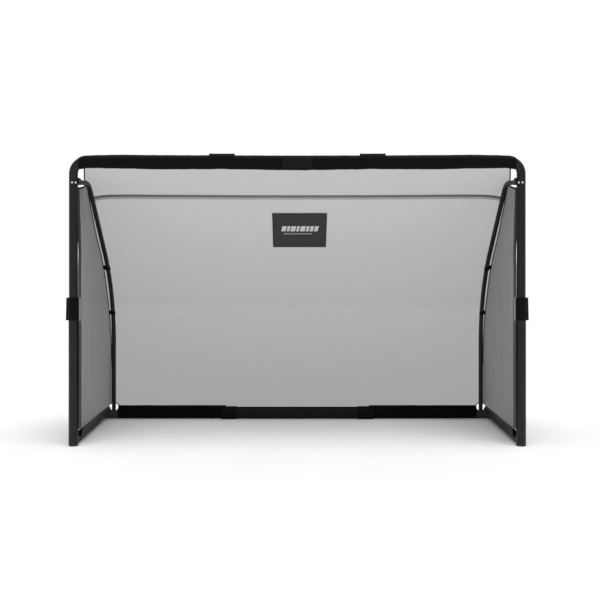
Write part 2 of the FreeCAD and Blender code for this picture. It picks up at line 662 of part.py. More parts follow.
def base_sleeves():
    """Cloth sleeves along the base frame, and the straps over the rear bar's joints."""
    radius, height = "places.side_sleeve_radius", "sizes.side_sleeve_height"
    start = "sizes.side_sleeve_start"
    end = "(sizes.goal_depth / cos(places.flare) - places.bend_reach - places.side_sleeve_radius)"
    pair("side_sleeve", band(
        radius, f"{height} - 2 * {radius}", f"{end} - {start}", "sizes.cloth / 2",
        f"places.post_x + {start} * sin(places.flare)",
        f"places.post_y + {start} * cos(places.flare)",
        f"places.side_top - {radius}", BAND_Y))
    radius, height = "places.rear_sleeve_radius", "sizes.rear_sleeve_height"
    at = ("places.rear_y", f"places.rear_top - {radius}", BAND_X)
    outer_end = "(places.post_x - sizes.arc_notch)"
    near = f"({REAR_BUTTON_X} + sizes.sleeve_break)"
    far = f"({REAR_BUTTON_X} - sizes.sleeve_break)"
    drop = f"{height} - 2 * {radius}"
    thin = "sizes.cloth / 2"
    pair("rear_sleeve", band(radius, drop, f"{outer_end} - {near}", thin, near, *at))
    node("rear_sleeve_middle", band(radius, drop, f"2 * {far}", thin, f"-{far}", *at))
    wrap = f"{radius} + sizes.soft_gap + sizes.cloth"
    start = f"{REAR_BUTTON_X} - sizes.base_strap_width / 2"
    pair("rear_strap", band(wrap, drop, "sizes.base_strap_width", "sizes.cloth", start, *at))


def net_panels():
    """Top, back and two side nets, as thin stand-ins for the mesh."""
    half = "(places.post_x - sizes.top_net_inset)"
    thick = "sizes.net_thick"
    first_y = "(places.bar_sleeve_radius + sizes.strap_gap + sizes.cloth + sizes.net_gap)"
    first_z = "(places.bar_z - sizes.bar_sleeve_drop - places.bar_sleeve_radius)"
    last_y = "(places.bend_end_y + places.net_inside * sin(sizes.arc_slope) - sizes.net_gap)"
    last_z = "(places.bend_end_z + places.net_inside * cos(sizes.arc_slope))"
    fall = f"atan(({first_z} - {last_z}) / ({last_y} - {first_y}))"
    span = f"sqrt(({last_y} - {first_y})^2 + ({first_z} - {last_z})^2)"
    node("top_net", box(
        f"2 * {half}", span, thick, f"-{half}", f"places.post_y + {first_y}", first_z,
        f"rotation(vector(1; 0; 0); -{fall})"))

    half = "(places.post_x + places.net_reach)"
    width = f"2 * {half}"
    inside = "places.net_inside"
    slope = box(
        width, thick, "places.slope_length", f"-{half}",
        f"places.post_y + places.sweep_start_y + {inside} * sin(sizes.arc_slope)",
        f"places.sweep_start_z + {inside} * cos(sizes.arc_slope)",
        "rotation(vector(1; 0; 0); 90 - sizes.arc_slope)")
    shells = []
    for offset in (f"{inside} + {thick}", inside):
        drum = bound("Part::Cylinder", "drum", Radius=f"sizes.arc_sweep + {offset}",
                     Height=width, Angle="90 - sizes.arc_slope")
        placed(drum, f"-{half}", "places.post_y + places.sweep_y", "places.sweep_z",
               "rotation(vector(0; 1; 0); 90) * rotation(vector(0; 0; 1); 90)")
        shells.append(drum)
    curve = cut(*shells)
    drop = box(width, thick, "places.sweep_z - places.net_bottom", f"-{half}",
               f"places.rear_y + {inside}", "places.net_bottom")
    node("back_net", joined(slope, curve, drop))

    body = doc.addObject("PartDesign::Body", "side_net")
    front = "(sizes.leg_od / 2 + sizes.side_net_gap)"
    rear = f"sizes.goal_depth - {inside}"
    low = "places.net_bottom"
    profile = draw(
        body, "YZ_Plane", (front, low),
        [
            (rear, low),
            (rear, "places.sweep_z"),
            (f"places.sweep_start_y - {inside} * sin(sizes.arc_slope)",
             f"places.sweep_start_z - {inside} * cos(sizes.arc_slope)",
             "places.sweep_y", "places.sweep_z", 1),
            (f"places.bend_end_y - {inside} * sin(sizes.arc_slope)",
             f"places.bend_end_z - {inside} * cos(sizes.arc_slope)"),
            (f"places.run_end_y - {inside}", f"places.arc_joint_z - {inside}"),
            (front, "places.arc_joint_z - sizes.saddle_height / 2 - sizes.net_gap"),
            (front, low),
        ],
        closed=True,
    )
    doc.recompute()
    sheet = body.newObject("PartDesign::Pad", "sheet")
    sheet.Profile = profile
    sheet.setExpression("Length", thick)
    lean = f"atan(({front} + places.net_offset) / sizes.goal_depth)"
    placed(body, f"places.post_x - {front}", "places.post_y", 0,
           f"rotation(vector(0; 0; 1); -{lean})")
    pair("side_net", body)


def trims():
    """Front webbing, arc ties and the blank patch."""
    pair("front_hem", box(
        "sizes.hem_width", "sizes.hem_thick",
        "places.arc_joint_z - sizes.saddle_height - places.net_bottom",
        "places.post_x - sizes.leg_od / 2 - sizes.soft_gap - sizes.hem_width",
        "places.post_y", "places.net_bottom"))

    ties = []
    for angle in ("sizes.tie_high", "sizes.tie_low"):
        ring_place = (
            f"placement(vector(places.post_x; "
            f"places.post_y + places.sweep_y + sizes.arc_sweep * cos({angle}); "
            f"places.sweep_z + sizes.arc_sweep * sin({angle})); "
            f"rotation(vector(1; 0; 0); {angle}))"
        )
        skin = "sizes.arc_od / 2 + sizes.button_gap"
        end = "-sizes.tie_width / 2"
        ring = cut(cylinder(f"{skin} + sizes.cloth / 2", "sizes.tie_width", 0, 0, end),
                   cylinder(skin, "sizes.tie_width", 0, 0, end))
        ring.setExpression("Placement", ring_place)
        ties.append(ring)
    group = doc.addObject("Part::Compound", "ties")
    group.Links = ties + [mirrored(tie) for tie in ties]
    node("arc_ties", group)

    inside = "(places.net_inside - sizes.button_gap - sizes.patch_thick)"
    along = "sizes.patch_rise"
    node("net_patch", box(
        "sizes.patch_width", "sizes.patch_thick", "sizes.patch_height", "-sizes.patch_width / 2",
        f"places.post_y + places.sweep_start_y + {inside} * sin(sizes.arc_slope)"
        f" - {along} * cos(sizes.arc_slope)",
        f"places.sweep_start_z + {inside} * cos(sizes.arc_slope)"
        f" + {along} * sin(sizes.arc_slope)",
        "rotation(vector(1; 0; 0); 90 - sizes.arc_slope)"))


def check_document():
    """Stops on a failed object or a sub-part without a valid solid."""
    for item in doc.Objects:
        if {"Invalid", "Error"} & set(item.State):
            raise RuntimeError(f"{item.Name} ({item.Label}): {item.State}")
    for label, item in NODES.items():
        shape = item.Shape
        if shape.isNull() or not shape.isValid() or not shape.Solids:
            raise RuntimeError(f"{label} has no valid solid")


corner_tubes()
middle_tube("crossbar_middle_tube", "sizes.crossbar_joint", "places.upper_od",
            "places.upper_spigot", "places.post_y", "places.bar_z", "crossbar")
lower_legs()
foot_caps()
base_corner_tubes()
middle_tube("rear_middle_tube", "sizes.rear_joint", "sizes.base_od",
            "places.base_spigot", "places.rear_y", "places.base_axis", "rear_bar")
rear_arcs()
arc_brackets()
arc_bolts()
snap_buttons()
crossbar_sleeves()
post_straps()
base_sleeves()
net_panels()
trims()
doc.recompute()
check_document()

os.makedirs("parts", exist_ok=True)
for label, item in NODES.items():
    item.Shape.exportStep(f"parts/{label}.step")
print(len(NODES), "sub-parts")
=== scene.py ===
"""Football goal: cloth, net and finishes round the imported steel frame. Metres, in the CAD's frame.

Right-hand pieces are on +X; a piece that has a twin is made once for each side by `side`, 1 or -1.
"""

import json
import math

import bpy
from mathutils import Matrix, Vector, noise


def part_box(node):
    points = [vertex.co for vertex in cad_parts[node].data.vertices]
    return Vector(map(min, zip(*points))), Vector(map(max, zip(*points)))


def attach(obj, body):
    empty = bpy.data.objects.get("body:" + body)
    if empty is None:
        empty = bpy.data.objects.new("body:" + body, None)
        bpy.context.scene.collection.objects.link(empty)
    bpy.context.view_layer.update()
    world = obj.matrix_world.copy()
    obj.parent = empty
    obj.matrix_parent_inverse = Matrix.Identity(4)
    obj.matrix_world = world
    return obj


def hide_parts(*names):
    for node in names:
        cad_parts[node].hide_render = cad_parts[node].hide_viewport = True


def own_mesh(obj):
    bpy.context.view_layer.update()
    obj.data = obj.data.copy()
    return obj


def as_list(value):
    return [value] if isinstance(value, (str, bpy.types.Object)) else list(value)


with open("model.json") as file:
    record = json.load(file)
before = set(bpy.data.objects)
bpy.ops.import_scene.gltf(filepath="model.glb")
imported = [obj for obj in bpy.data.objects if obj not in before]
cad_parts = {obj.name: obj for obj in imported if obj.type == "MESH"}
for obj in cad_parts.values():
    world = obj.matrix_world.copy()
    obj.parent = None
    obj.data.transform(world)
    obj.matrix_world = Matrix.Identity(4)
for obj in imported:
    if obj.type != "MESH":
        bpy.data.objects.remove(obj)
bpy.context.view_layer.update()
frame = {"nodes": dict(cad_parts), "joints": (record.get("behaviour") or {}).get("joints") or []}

SIDES = {"right": 1, "left": -1}
FORWARD = Vector((0, -1, 0))    # towards the goal's mouth
SIDEWAYS = Vector((1, 0, 0))

# ---------------- places read from the frame

leg_low, leg_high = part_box("lower_leg_right")
bar_low, bar_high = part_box("crossbar_middle_tube")
rear_low, rear_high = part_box("rear_middle_tube")
arc_low, arc_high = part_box("rear_arc_right")

LEG_RADIUS = (leg_high.x - leg_low.x) / 2
POST_X = (leg_low.x + leg_high.x) / 2
POST_Y = leg_low.y + LEG_RADIUS
LEG_TOP = leg_high.z
BAR_RADIUS = (bar_high.z - bar_low.z) / 2
BAR_Z = (bar_low.z + bar_high.z) / 2
REAR_Y = (rear_low.y + rear_high.y) / 2
BASE_Z = (rear_low.z + rear_high.z) / 2
DEPTH = REAR_Y - POST_Y
ARC_RADIUS = (arc_high.x - arc_low.x) / 2

# The rear arc, seen from the side: top run, top bend, slope, large bend and drop.
ARC_START_Z = 1.390
ARC_RISE = math.radians(5.5)
ARC_RUN = 0.251
ARC_BEND = 0.100
ARC_SLOPE = math.radians(45)
ARC_SWEEP = 0.795
ARC_FOOT_Z = 0.053

# The base frame, seen from above: flared side bar, corner bend and rear bar.
BASE_CORNER_X = 1.241
BASE_BEND = 0.060
FLARE = math.atan((BASE_CORNER_X - POST_X) / DEPTH)

# ---------------- sizes of the soft pieces
# _TOP and _LOW are heights over the floor, except that the crossbar sleeves' tables run from
# the bar's axis.

CORNER_BEND = 0.070
BAR_SLEEVE_RADIUS = 0.0255
BAR_SLEEVE_END = 1.144
BAR_SLEEVE_TOP = ((0.0, 0.0262), (0.30, 0.0271), (0.51, 0.0277), (0.72, 0.0287),
                  (0.93, 0.0306), (1.035, 0.0290), (1.10, 0.0268), (BAR_SLEEVE_END, 0.0262))
BAR_SLEEVE_LOW = ((0.0, 0.0506), (0.09, 0.0500), (0.30, 0.0466), (0.51, 0.0457),
                  (0.72, 0.0464), (0.93, 0.0420), (1.10, 0.0398), (BAR_SLEEVE_END, 0.0463))
BAR_CLOTH_THICK = 0.0012
BAR_JOINT_X = 0.3955
JOINT_BREAK = 0.020            # a joint's middle to the nearest sleeve end

BASE_SLEEVE_RADIUS = 0.0213
BASE_SLEEVE_LOW = 0.0034
BASE_CLOTH_THICK = 0.0009
SIDE_SLEEVE_TOP = 0.083
SIDE_SLEEVE_START = 0.090
SIDE_SLEEVE_LEAN = 0.035       # how far a side sleeve's top leans in from the tube's axis
REAR_SLEEVE_TOP = 0.088
MIDDLE_SLEEVE_TOP = 0.079
REAR_SLEEVE_END = 1.146
REAR_JOINT_X = 0.438
CORNER_COVER_TOP = 0.057       # the side sleeve's top where it wraps the rear corner
SLEEVE_TUCK = 0.0006           # how far a slack sleeve may press in towards its tube

STRAP_WIDTH = 0.132
STRAP_SKEW = 0.016             # how far a strap's front hangs outward of its top
STRAP_THICK = 0.0018
REAR_STRAP_WIDTH = 0.096
REAR_STRAP_THICK = 0.0016
POST_STRAP_HEIGHT = 0.1195
POST_STRAP_Z = LEG_TOP - 0.0164
POST_STRAP_OUT = 0.0132        # leg to the edge of the pressed tab

NET_OFFSET = 0.018             # arc axis to the back net, between the arcs
NET_OVER_ARC = ARC_RADIUS + 0.0035
NET_EDGE = 1.119               # half-width of the top net at the crossbar
NET_START = 0.036              # crossbar axis down to the top net's edge, inside the sleeve
NET_BACK = 0.003               # post axis back to that edge
NET_LANDING = ARC_RUN - 0.03   # where the top net's side edge meets the arc
NET_LOW = 0.092
WINDOW_TOP = 0.098
NET_CELL = 0.0042
HEM_WIDTH = 0.0125
HEM_TOP = 1.357
HEM_INNER = ((0.09, 1.1365), (0.50, 1.1355), (0.82, 1.1370), (0.975, 1.1400), (1.133, 1.1454),
             (1.29, 1.1500), (HEM_TOP, 1.1520))

PATCH_WIDTH = 0.320
PATCH_HEIGHT = 0.266
PATCH_X = 0.0134
PATCH_Y = POST_Y + 0.545
PATCH_DOWN = 0.62              # the patch's middle, by distance along the arc
TAB_REACH = 0.076              # half the tab's width
TAB_HALF = 0.024               # half its height as sewn on
TAB_Z = BAR_Z - 0.0195


# ---------------- paths and meshes

class Route:
    """A path of straights and bends in a plane, walked by distance."""

    def __init__(self, start, heading, steps):
        self.pieces, self.length = [], 0.0
        x, y = start
        for radius, amount in steps:
            self.pieces.append((self.length, x, y, heading, radius, amount))
            size = radius * abs(amount) if radius else amount
            x, y, heading = self.move(x, y, heading, radius, amount, size)
            self.length += size

    @staticmethod
    def move(x, y, heading, radius, amount, distance):
        if not radius:
            return x + distance * math.cos(heading), y + distance * math.sin(heading), heading
        side = math.copysign(1, amount)
        end = heading + side * distance / radius
        x += side * radius * (math.sin(end) - math.sin(heading))
        y -= side * radius * (math.cos(end) - math.cos(heading))
        return x, y, end

    def at(self, distance, offset=0.0):
        """Point at that distance, set off to the left of the path, and the heading there."""
        piece = [p for p in self.pieces if p[0] <= max(distance, 0)][-1]
        x, y, heading = self.move(*piece[1:], distance - piece[0])
        return x - offset * math.sin(heading), y + offset * math.cos(heading), heading


def arc_route():
    """The rear arc's axis as depth behind the posts and height."""
    bend = ARC_SLOPE + ARC_RISE
    slope_start = ARC_RUN * math.cos(ARC_RISE) + ARC_BEND * (
        math.sin(ARC_RISE) + math.sin(ARC_SLOPE))
    slope_end = DEPTH - ARC_SWEEP * (1 - math.sin(ARC_SLOPE))
    slope = (slope_end - slope_start) / math.cos(ARC_SLOPE)
    top = [(0, ARC_RUN), (ARC_BEND, -bend), (0, slope), (ARC_SWEEP, ARC_SLOPE - math.pi / 2)]
    foot = Route((0, ARC_START_Z), ARC_RISE, top)
    drop = foot.at(foot.length)[1] - ARC_FOOT_Z
    return Route((0, ARC_START_Z), ARC_RISE, top + [(0, drop)])


def base_route():
    """The base frame's axis from the right leg round the corner to the middle of the rear bar."""
    reach = BASE_BEND * math.tan((math.pi / 2 + FLARE) / 2)
    return Route((POST_X, POST_Y), math.pi / 2 - FLARE, [
        (0, DEPTH / math.cos(FLARE) - reach),
        (BASE_BEND, math.pi / 2 + FLARE),
        (0, BASE_CORNER_X - reach),
    ])


ARC = arc_route()
BASE = base_route()
ARC_SLOPE_START = ARC_RUN + ARC_BEND * (ARC_SLOPE + ARC_RISE)
ARC_DROP_START = ARC.pieces[-1][0]
ARC_SLOPE_END = ARC.pieces[3][0]
# Places along the arc: the ridge seam, the side net's top and the foot of the corner seam.
RIDGE = ARC_SLOPE_START + 0.072
SIDE_NET_TOP = ARC_RUN + 0.045
NET_FOOT = ARC.length - (WINDOW_TOP - ARC_FOOT_Z)


def smooth(x, low=0.0, high=1.0):
    """0 below low, 1 above high, and an even curve between."""
    t = min(max((x - low) / (high - low), 0.0), 1.0)
    return t * t * (3 - 2 * t)


def mix(a, b, t):
    return a + (b - a) * t


def turn(count):
    """Angles evenly spaced round one full turn."""
    return [2 * math.pi * k / count for k in range(count)]


def through(points, x):
    """Height at x of a smooth line through (x, height) points."""
    if x <= points[0][0]:
        return points[0][1]
    for (x0, y0), (x1, y1) in zip(points, points[1:]):
        if x <= x1:
            return mix(y0, y1, smooth(x, x0, x1))
    return points[-1][1]


def rumple(u, v, seed, scale=1.0):
    """Soft uneven folds, from -1 to 1, over a cloth's own two lengths in metres."""
    at = Vector((u / scale, v / scale, seed))
    return 0.7 * noise.noise(at) + 0.3 * noise.noise(at * 2.7 + Vector((5, 3, 1)))


def put(name, data):
    """A new object in the scene."""
    thing = bpy.data.objects.new(name, data)
    bpy.context.scene.collection.objects.link(thing)
    return thing


def mesh_of(name, vertices, faces, uvs, material, sharp=False):
    """A mesh object; uvs holds one pair of metres for each vertex."""
    mesh = bpy.data.meshes.new(name)
    mesh.from_pydata(vertices, [], faces)
    layer = mesh.uv_layers.new(name="cloth")
    for loop in mesh.loops:
        layer.data[loop.index].uv = uvs[loop.vertex_index]
    mesh.polygons.foreach_set("use_smooth", [not sharp] * len(mesh.polygons))
    mesh.materials.append(material)
    mesh.update()
    return put(name, mesh)


def loft(name, rows, material, around=False, caps=False):
    """A surface through rows of points. `around` joins each row's end to its start."""
    count = len(rows[0])
    vertices = [p for row in rows for p in row]
    uvs, u = [], 0.0
    for r, row in enumerate(rows):
        if r:
            u += (Vector(row[0]) - Vector(rows[r - 1][0])).length
        v = 0.0
        for c, p in enumerate(row):
            if c:
                v += (Vector(p) - Vector(row[c - 1])).length
            uvs.append((u, v))
    faces = []
    for r in range(len(rows) - 1):
        for c in range(count if around else count - 1):
            d = (c + 1) % count
            faces.append((r * count + c, (r + 1) * count + c, (r + 1) * count + d, r * count + d))
    if caps:
        last = (len(rows) - 1) * count
        faces += [tuple(range(count)), tuple(reversed(range(last, last + count)))]
    return mesh_of(name, vertices, faces, uvs, material)


def thicken(thing, thickness, offset=-1, rounding=0.0):
    """Gives a cloth surface its thickness, and rounds the edge if asked."""
    solid = thing.modifiers.new("thickness", "SOLIDIFY")
    solid.thickness = thickness
    solid.offset = offset
    if rounding:
        bevel = thing.modifiers.new("edge", "BEVEL")
        bevel.width = rounding
        bevel.segments = 2
        bevel.angle_limit = math.radians(50)
    return thing


def tube_along(name, points, radius, out, flat=1.0, sides=8):
    """A binding along points. `flat` is its size along the direction `out` over its radius."""
    rows = []
    for i, p in enumerate(points):
        ahead = points[min(i + 1, len(points) - 1)] - points[max(i - 1, 0)]
        ahead.normalize()
        first = (out - ahead * out.dot(ahead)).normalized()
        second = ahead.cross(first)
        rows.append([p + radius * (flat * math.cos(angle) * first + math.sin(angle) * second)
                     for angle in turn(sides)])
    return loft(name, rows, BINDING, around=True, caps=True)


def piece(thing, slot, *nodes):
    """Puts a soft piece on the frame and lets it stand for its CAD solids."""
    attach(thing, "frame")
    if nodes:
        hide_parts(*nodes)
    return thing


# ---------------- materials

def feed(tree, node, feeds):
    """Gives a node's inputs plain numbers, or links other nodes' outputs into them."""
    for socket, source in feeds.items():
        if isinstance(source, bpy.types.NodeSocket):
            tree.links.new(source, node.inputs[socket])
        else:
            node.inputs[socket].default_value = source
    return node


def add(tree, kind, feeds=None, **settings):
    node = tree.nodes.new(kind)
    for name, setting in settings.items():
        setattr(node, name, setting)
    return feed(tree, node, feeds or {})


def new_material(name, coordinates, **inputs):
    """A Principled material with plain values on its own sockets, and its coordinates."""
    material = bpy.data.materials.new(f"{name}_finish")
    material.use_nodes = True
    tree = material.node_tree
    shader = tree.nodes["Principled BSDF"]
    feed(tree, shader, {socket.replace("_", " "): inputs[socket] for socket in inputs})
    return material, tree, shader, add(tree, "ShaderNodeTexCoord").outputs[coordinates]


def noise_of(tree, at, scale, detail=4.0, stretch=None):
    """A noise value, and the coordinates may be stretched first."""
    if stretch:
        at = add(tree, "ShaderNodeMapping", {"Vector": at, "Scale": stretch}).outputs[0]
    return add(tree, "ShaderNodeTexNoise",
               {"Vector": at, "Scale": scale, "Detail": detail}).outputs["Fac"]


def wave_of(tree, at, pitch, direction, distortion=0.0):
    """Parallel threads that far apart, across one of the cloth's own directions."""
    return add(tree, "ShaderNodeTexWave", {
        "Vector": at, "Scale": math.pi / (10 * pitch), "Distortion": distortion,
    }, bands_direction=direction, wave_profile="SIN").outputs["Fac"]


def combine(tree, operation, a, b):
    return add(tree, "ShaderNodeMath", {0: a, 1: b}, operation=operation).outputs[0]


def ramp(tree, value, dark, pale, low=0.3, high=0.7):
    node = add(tree, "ShaderNodeValToRGB", {"Fac": value})
    for stop, position, colour in zip(node.color_ramp.elements, (low, high), (dark, pale)):
        stop.position = position
        stop.color = (*colour, 1)
    return node.outputs["Color"]


def remap(tree, value, low, high):
    return add(tree, "ShaderNodeMapRange",
               {"Value": value, "To Min": low, "To Max": high}).outputs["Result"]


def finish(tree, shader, colour, rough, height=None, strength=0.0, distance=0.0):
    """Colour, roughness and fine relief of a material."""
    feeds = {"Base Color": colour, "Roughness": rough}
    if height:
        feeds["Normal"] = add(tree, "ShaderNodeBump", {
            "Height": height, "Strength": strength, "Distance": distance}).outputs["Normal"]
    feed(tree, shader, feeds)


def grey(level, warmth=0.0):
    return (level * (1 + warmth), level, level * (1 - warmth))


def steel_material():
    """Black powder coat: fine orange peel, faint dust and rub marks."""
    material, tree, shader, at = new_material(
        "black_steel", "Object", Specular_IOR_Level=0.30)
    peel = noise_of(tree, at, 900, 2)
    smudge = noise_of(tree, at, 9, 6)
    scuff = noise_of(tree, at, 35, 8, (1, 1, 0.15))
    rough = combine(tree, "ADD", remap(tree, smudge, 0.30, 0.46),
                    remap(tree, scuff, -0.04, 0.06))
    finish(tree, shader, ramp(tree, smudge, grey(0.003), grey(0.009)), rough,
           peel, 0.25, 0.0003)
    return material


def moulded_material():
    """Black moulded plastic with a fine spark-eroded grain."""
    material, tree, shader, at = new_material(
        "cap_plastic", "Object", Specular_IOR_Level=0.4)
    grain = noise_of(tree, at, 1600, 2)
    dust = noise_of(tree, at, 60, 5)
    finish(tree, shader, ramp(tree, dust, grey(0.012), grey(0.028, 0.05)),
           remap(tree, dust, 0.5, 0.7), grain, 0.3, 0.0002)
    return material


def metal_material(name, dark, pale, rough):
    """Bright plated metal with brushed streaks."""
    material, tree, shader, at = new_material(name, "Object", Metallic=1.0)
    streak = noise_of(tree, at, 400, 4, (1, 1, 0.1))
    stain = noise_of(tree, at, 120, 4)
    finish(tree, shader, ramp(tree, stain, grey(dark), grey(pale, 0.02)),
           remap(tree, streak, rough - 0.06, rough + 0.1), streak, 0.15, 0.0001)
    return material


def woven_material(name, dark, pale, pitch, rough, gloss, depth=0.0002, rib=1.0):
    """Woven cloth: warp and weft threads and uneven dye."""
    material, tree, shader, at = new_material(
        name, "UV", Sheen_Weight=0.02, Sheen_Roughness=0.45, Specular_IOR_Level=gloss)
    warp = wave_of(tree, at, pitch, "X")
    weft = wave_of(tree, at, pitch * rib, "Y")
    weave = combine(tree, "MULTIPLY", combine(tree, "ADD", warp, weft), 0.5)
    dye = noise_of(tree, at, 24, 6)
    slub = noise_of(tree, at, 260, 3, (1, 0.12, 1))
    tone = combine(tree, "ADD", combine(tree, "MULTIPLY", weave, 0.45),
                   combine(tree, "MULTIPLY", combine(tree, "ADD", dye, slub), 0.3))
    finish(tree, shader, ramp(tree, tone, grey(dark), grey(pale, 0.01), 0.2, 0.8),
           remap(tree, dye, rough - 0.08, rough + 0.1),
           combine(tree, "ADD", weave, combine(tree, "MULTIPLY", slub, 0.4)), 0.5, depth)
    return material


def net_material(name, alpha, dark, pale, painted_light_low, painted_light_high):
    """Knitted mesh: open cells between looped threads, with painted light: paler towards the top and
    darker towards the bottom.
    """
    material, tree, shader, at = new_material(
        name, "UV", Alpha=alpha, Sheen_Weight=0.25, Sheen_Roughness=0.4,
        Specular_IOR_Level=0.3)
    turned = add(tree, "ShaderNodeMapping",
                 {"Vector": at, "Rotation": (0, 0, math.pi / 4)}).outputs["Vector"]
    cell = combine(tree, "MAXIMUM", wave_of(tree, turned, NET_CELL, "X"),
                   wave_of(tree, turned, NET_CELL, "Y"))
    course = wave_of(tree, at, 5 * NET_CELL, "Y", 1.5)
    cloud = noise_of(tree, at, 5, 5)
    place = add(tree, "ShaderNodeSeparateXYZ",
                {"Vector": add(tree, "ShaderNodeTexCoord").outputs["Object"]})
    # Painted light by height: the colour turns paler upward, standing in for the upper net lit from
    # above and the lower net in shade.
    painted_light = add(tree, "ShaderNodeMapRange", {
        "Value": place.outputs["Z"], "From Min": painted_light_low, "From Max": painted_light_high,
    }, interpolation_type="SMOOTHSTEP").outputs["Result"]
    tone = combine(tree, "ADD", combine(tree, "MULTIPLY", painted_light, 0.86),
                   combine(tree, "MULTIPLY", combine(tree, "ADD", cell, course), 0.012))
    tone = combine(tree, "ADD", tone, combine(tree, "MULTIPLY", cloud, 0.1))
    finish(tree, shader, ramp(tree, tone, grey(dark), grey(pale), 0.05, 1.0), 0.62,
           cell, 0.06, 0.0002)
    return material


STEEL = steel_material()
PLASTIC = moulded_material()
BUTTON = metal_material("button_steel", 0.42, 0.6, 0.25)
SPRING = metal_material("spring_steel", 0.3, 0.42, 0.32)
ZINC = metal_material("zinc_bolt", 0.62, 0.8, 0.28)
SLEEVE = woven_material("sleeve_cloth", 0.0012, 0.0042, 0.0011, 0.55, 0.07)
BASE_CLOTH = woven_material("base_cloth", 0.0012, 0.0038, 0.0012, 0.72, 0.05)
MIDDLE_CLOTH = woven_material("middle_sleeve_cloth", 0.006, 0.014, 0.0012, 0.72, 0.08)
# Painted light: a paler copy of the dark sleeve cloth, standing in for the light on the side
# sleeves' inner faces.
SIDE_CLOTH_PAINTED_LIGHT = woven_material("side_sleeve_painted_light_cloth", 0.022, 0.046, 0.0012, 0.72, 0.15)
STRAP = woven_material("strap_webbing", 0.0018, 0.006, 0.0016, 0.75, 0.08, 0.0004, 2.0)
# Painted light: dark webbing given a grey colour for the light it catches.
HEM_PAINTED_LIGHT = woven_material("hem_webbing", 0.050, 0.085, 0.0016, 0.8, 0.3, 0.0004, 2.0)
RIDGE_TAPE = woven_material("ridge_tape", 0.14, 0.20, 0.0016, 0.8, 0.2)
BINDING = woven_material("binding", 0.0015, 0.005, 0.0014, 0.75, 0.06, 0.0003)
PATCH = woven_material("patch_cloth", 0.030, 0.054, 0.0010, 0.6, 0.2)
TAB_CLOTH = woven_material("tab_cloth", 0.004, 0.010, 0.0010, 0.6, 0.1)
MARK = woven_material("mark_print", 0.55, 0.75, 0.0012, 0.5, 0.3)
MARK_LINE = woven_material("mark_line", 0.20, 0.30, 0.0012, 0.5, 0.3)
THREAD = woven_material("thread", 0.018, 0.040, 0.0006, 0.6, 0.2)
# Both nets carry painted light by height, paler high up and darker low down.
BACK_NET = net_material("net_mesh", 0.66, 0.045, 0.38, 0.10, 1.45)
SIDE_NET = net_material("side_mesh", 0.90, 0.038, 0.080, 0.10, 1.40)

FINISHES = {
    "black_steel": STEEL, "cap_plastic": PLASTIC, "button_steel": BUTTON,
    "spring_steel": SPRING, "zinc_bolt": ZINC, "sleeve_cloth": SLEEVE,
    "strap_webbing": STRAP, "hem_webbing": HEM_PAINTED_LIGHT, "patch_cloth": PATCH, "net_mesh": BACK_NET,
}
for cad_node in frame["nodes"].values():
    for cad_slot in cad_node.material_slots:
        cad_slot.material = FINISHES[cad_slot.material.name]


# ---------------- button springs

def button_springs():
    """Leaf springs, each a copy of a button's CAD spring put in its place."""
    for joint in frame["joints"]:
        cad_spring = frame["nodes"][joint["name"].replace("press", "spring")]
        spring = put(f"{cad_spring.name}_leaf", cad_spring.data.copy())
        press = Vector(joint["axis"]).normalized()
        deep = max((v.co for v in spring.data.vertices), key=press.dot)
        piece(spring, "spring_steel", cad_spring.name)
        deep.copy()
        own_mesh(spring)


# ---------------- sleeves

def teardrop(angle, radius, high, low, pinch_high, pinch_low):
    """Sleeve section round a tube: sideways and upward from the tube's axis."""
    side, up = math.sin(angle), math.cos(angle)
    reach, pinch = (high, pinch_high) if up > 0 else (low, pinch_low)
    up = abs(up)
    width = radius * side * (1 - pinch * up ** 1.4)
    return width, math.copysign(reach * up ** 0.92, math.cos(angle))


def bend_height(x, radius):
    """Height over the bar's axis of a line that runs along the bar and round the corner bend."""
    past = max(abs(x) - (POST_X - CORNER_BEND), 0)
    return math.sqrt(radius ** 2 - past ** 2) - CORNER_BEND


def crossbar_sleeve(name, start, end, seed, smoothness):
    """Cloth sleeve under tension over the crossbar, with the net sewn into its lower seam."""
    rows, around = [], 40
    count = max(int((end - start) / 0.012), 8)
    for i in range(count + 1):
        x = mix(start, end, i / count)
        axis = bend_height(x, CORNER_BEND)
        high = (bend_height(x, CORNER_BEND + BAR_RADIUS) - axis
                + through(BAR_SLEEVE_TOP, abs(x)) - BAR_RADIUS)
        low = axis + through(BAR_SLEEVE_LOW, abs(x))
        pinch = mix(0.72, 0.15, smooth(abs(x), 1.09, BAR_SLEEVE_END))
        edge = smooth(min(x - start, end - x), 0.0, 0.03)
        row = []
        for angle in turn(around):
            y, z = teardrop(angle, BAR_SLEEVE_RADIUS, high, low, 0.0, pinch)
            fold = 0.0011 * smoothness * rumple(x + 0.3 * z, angle * 0.03, seed, 0.045)
            grow = 1 + (fold * (0.4 + 0.6 * edge) - 0.0007 * (1 - edge)) / BAR_SLEEVE_RADIUS
            row.append((x, POST_Y + y * grow, BAR_Z + axis + z * min(grow, 1.02)))
        rows.append(row)
    thing = thicken(loft(f"{name}_cloth", rows, SLEEVE, around=True), BAR_CLOTH_THICK)
    seam = [[Vector(row[k]) for row in rows] for k in (around // 2 + 3, around // 2 + 5)]
    thread = stitches(f"{name}_stitches", seam, FORWARD)
    piece(thing, "sleeve_cloth", name)


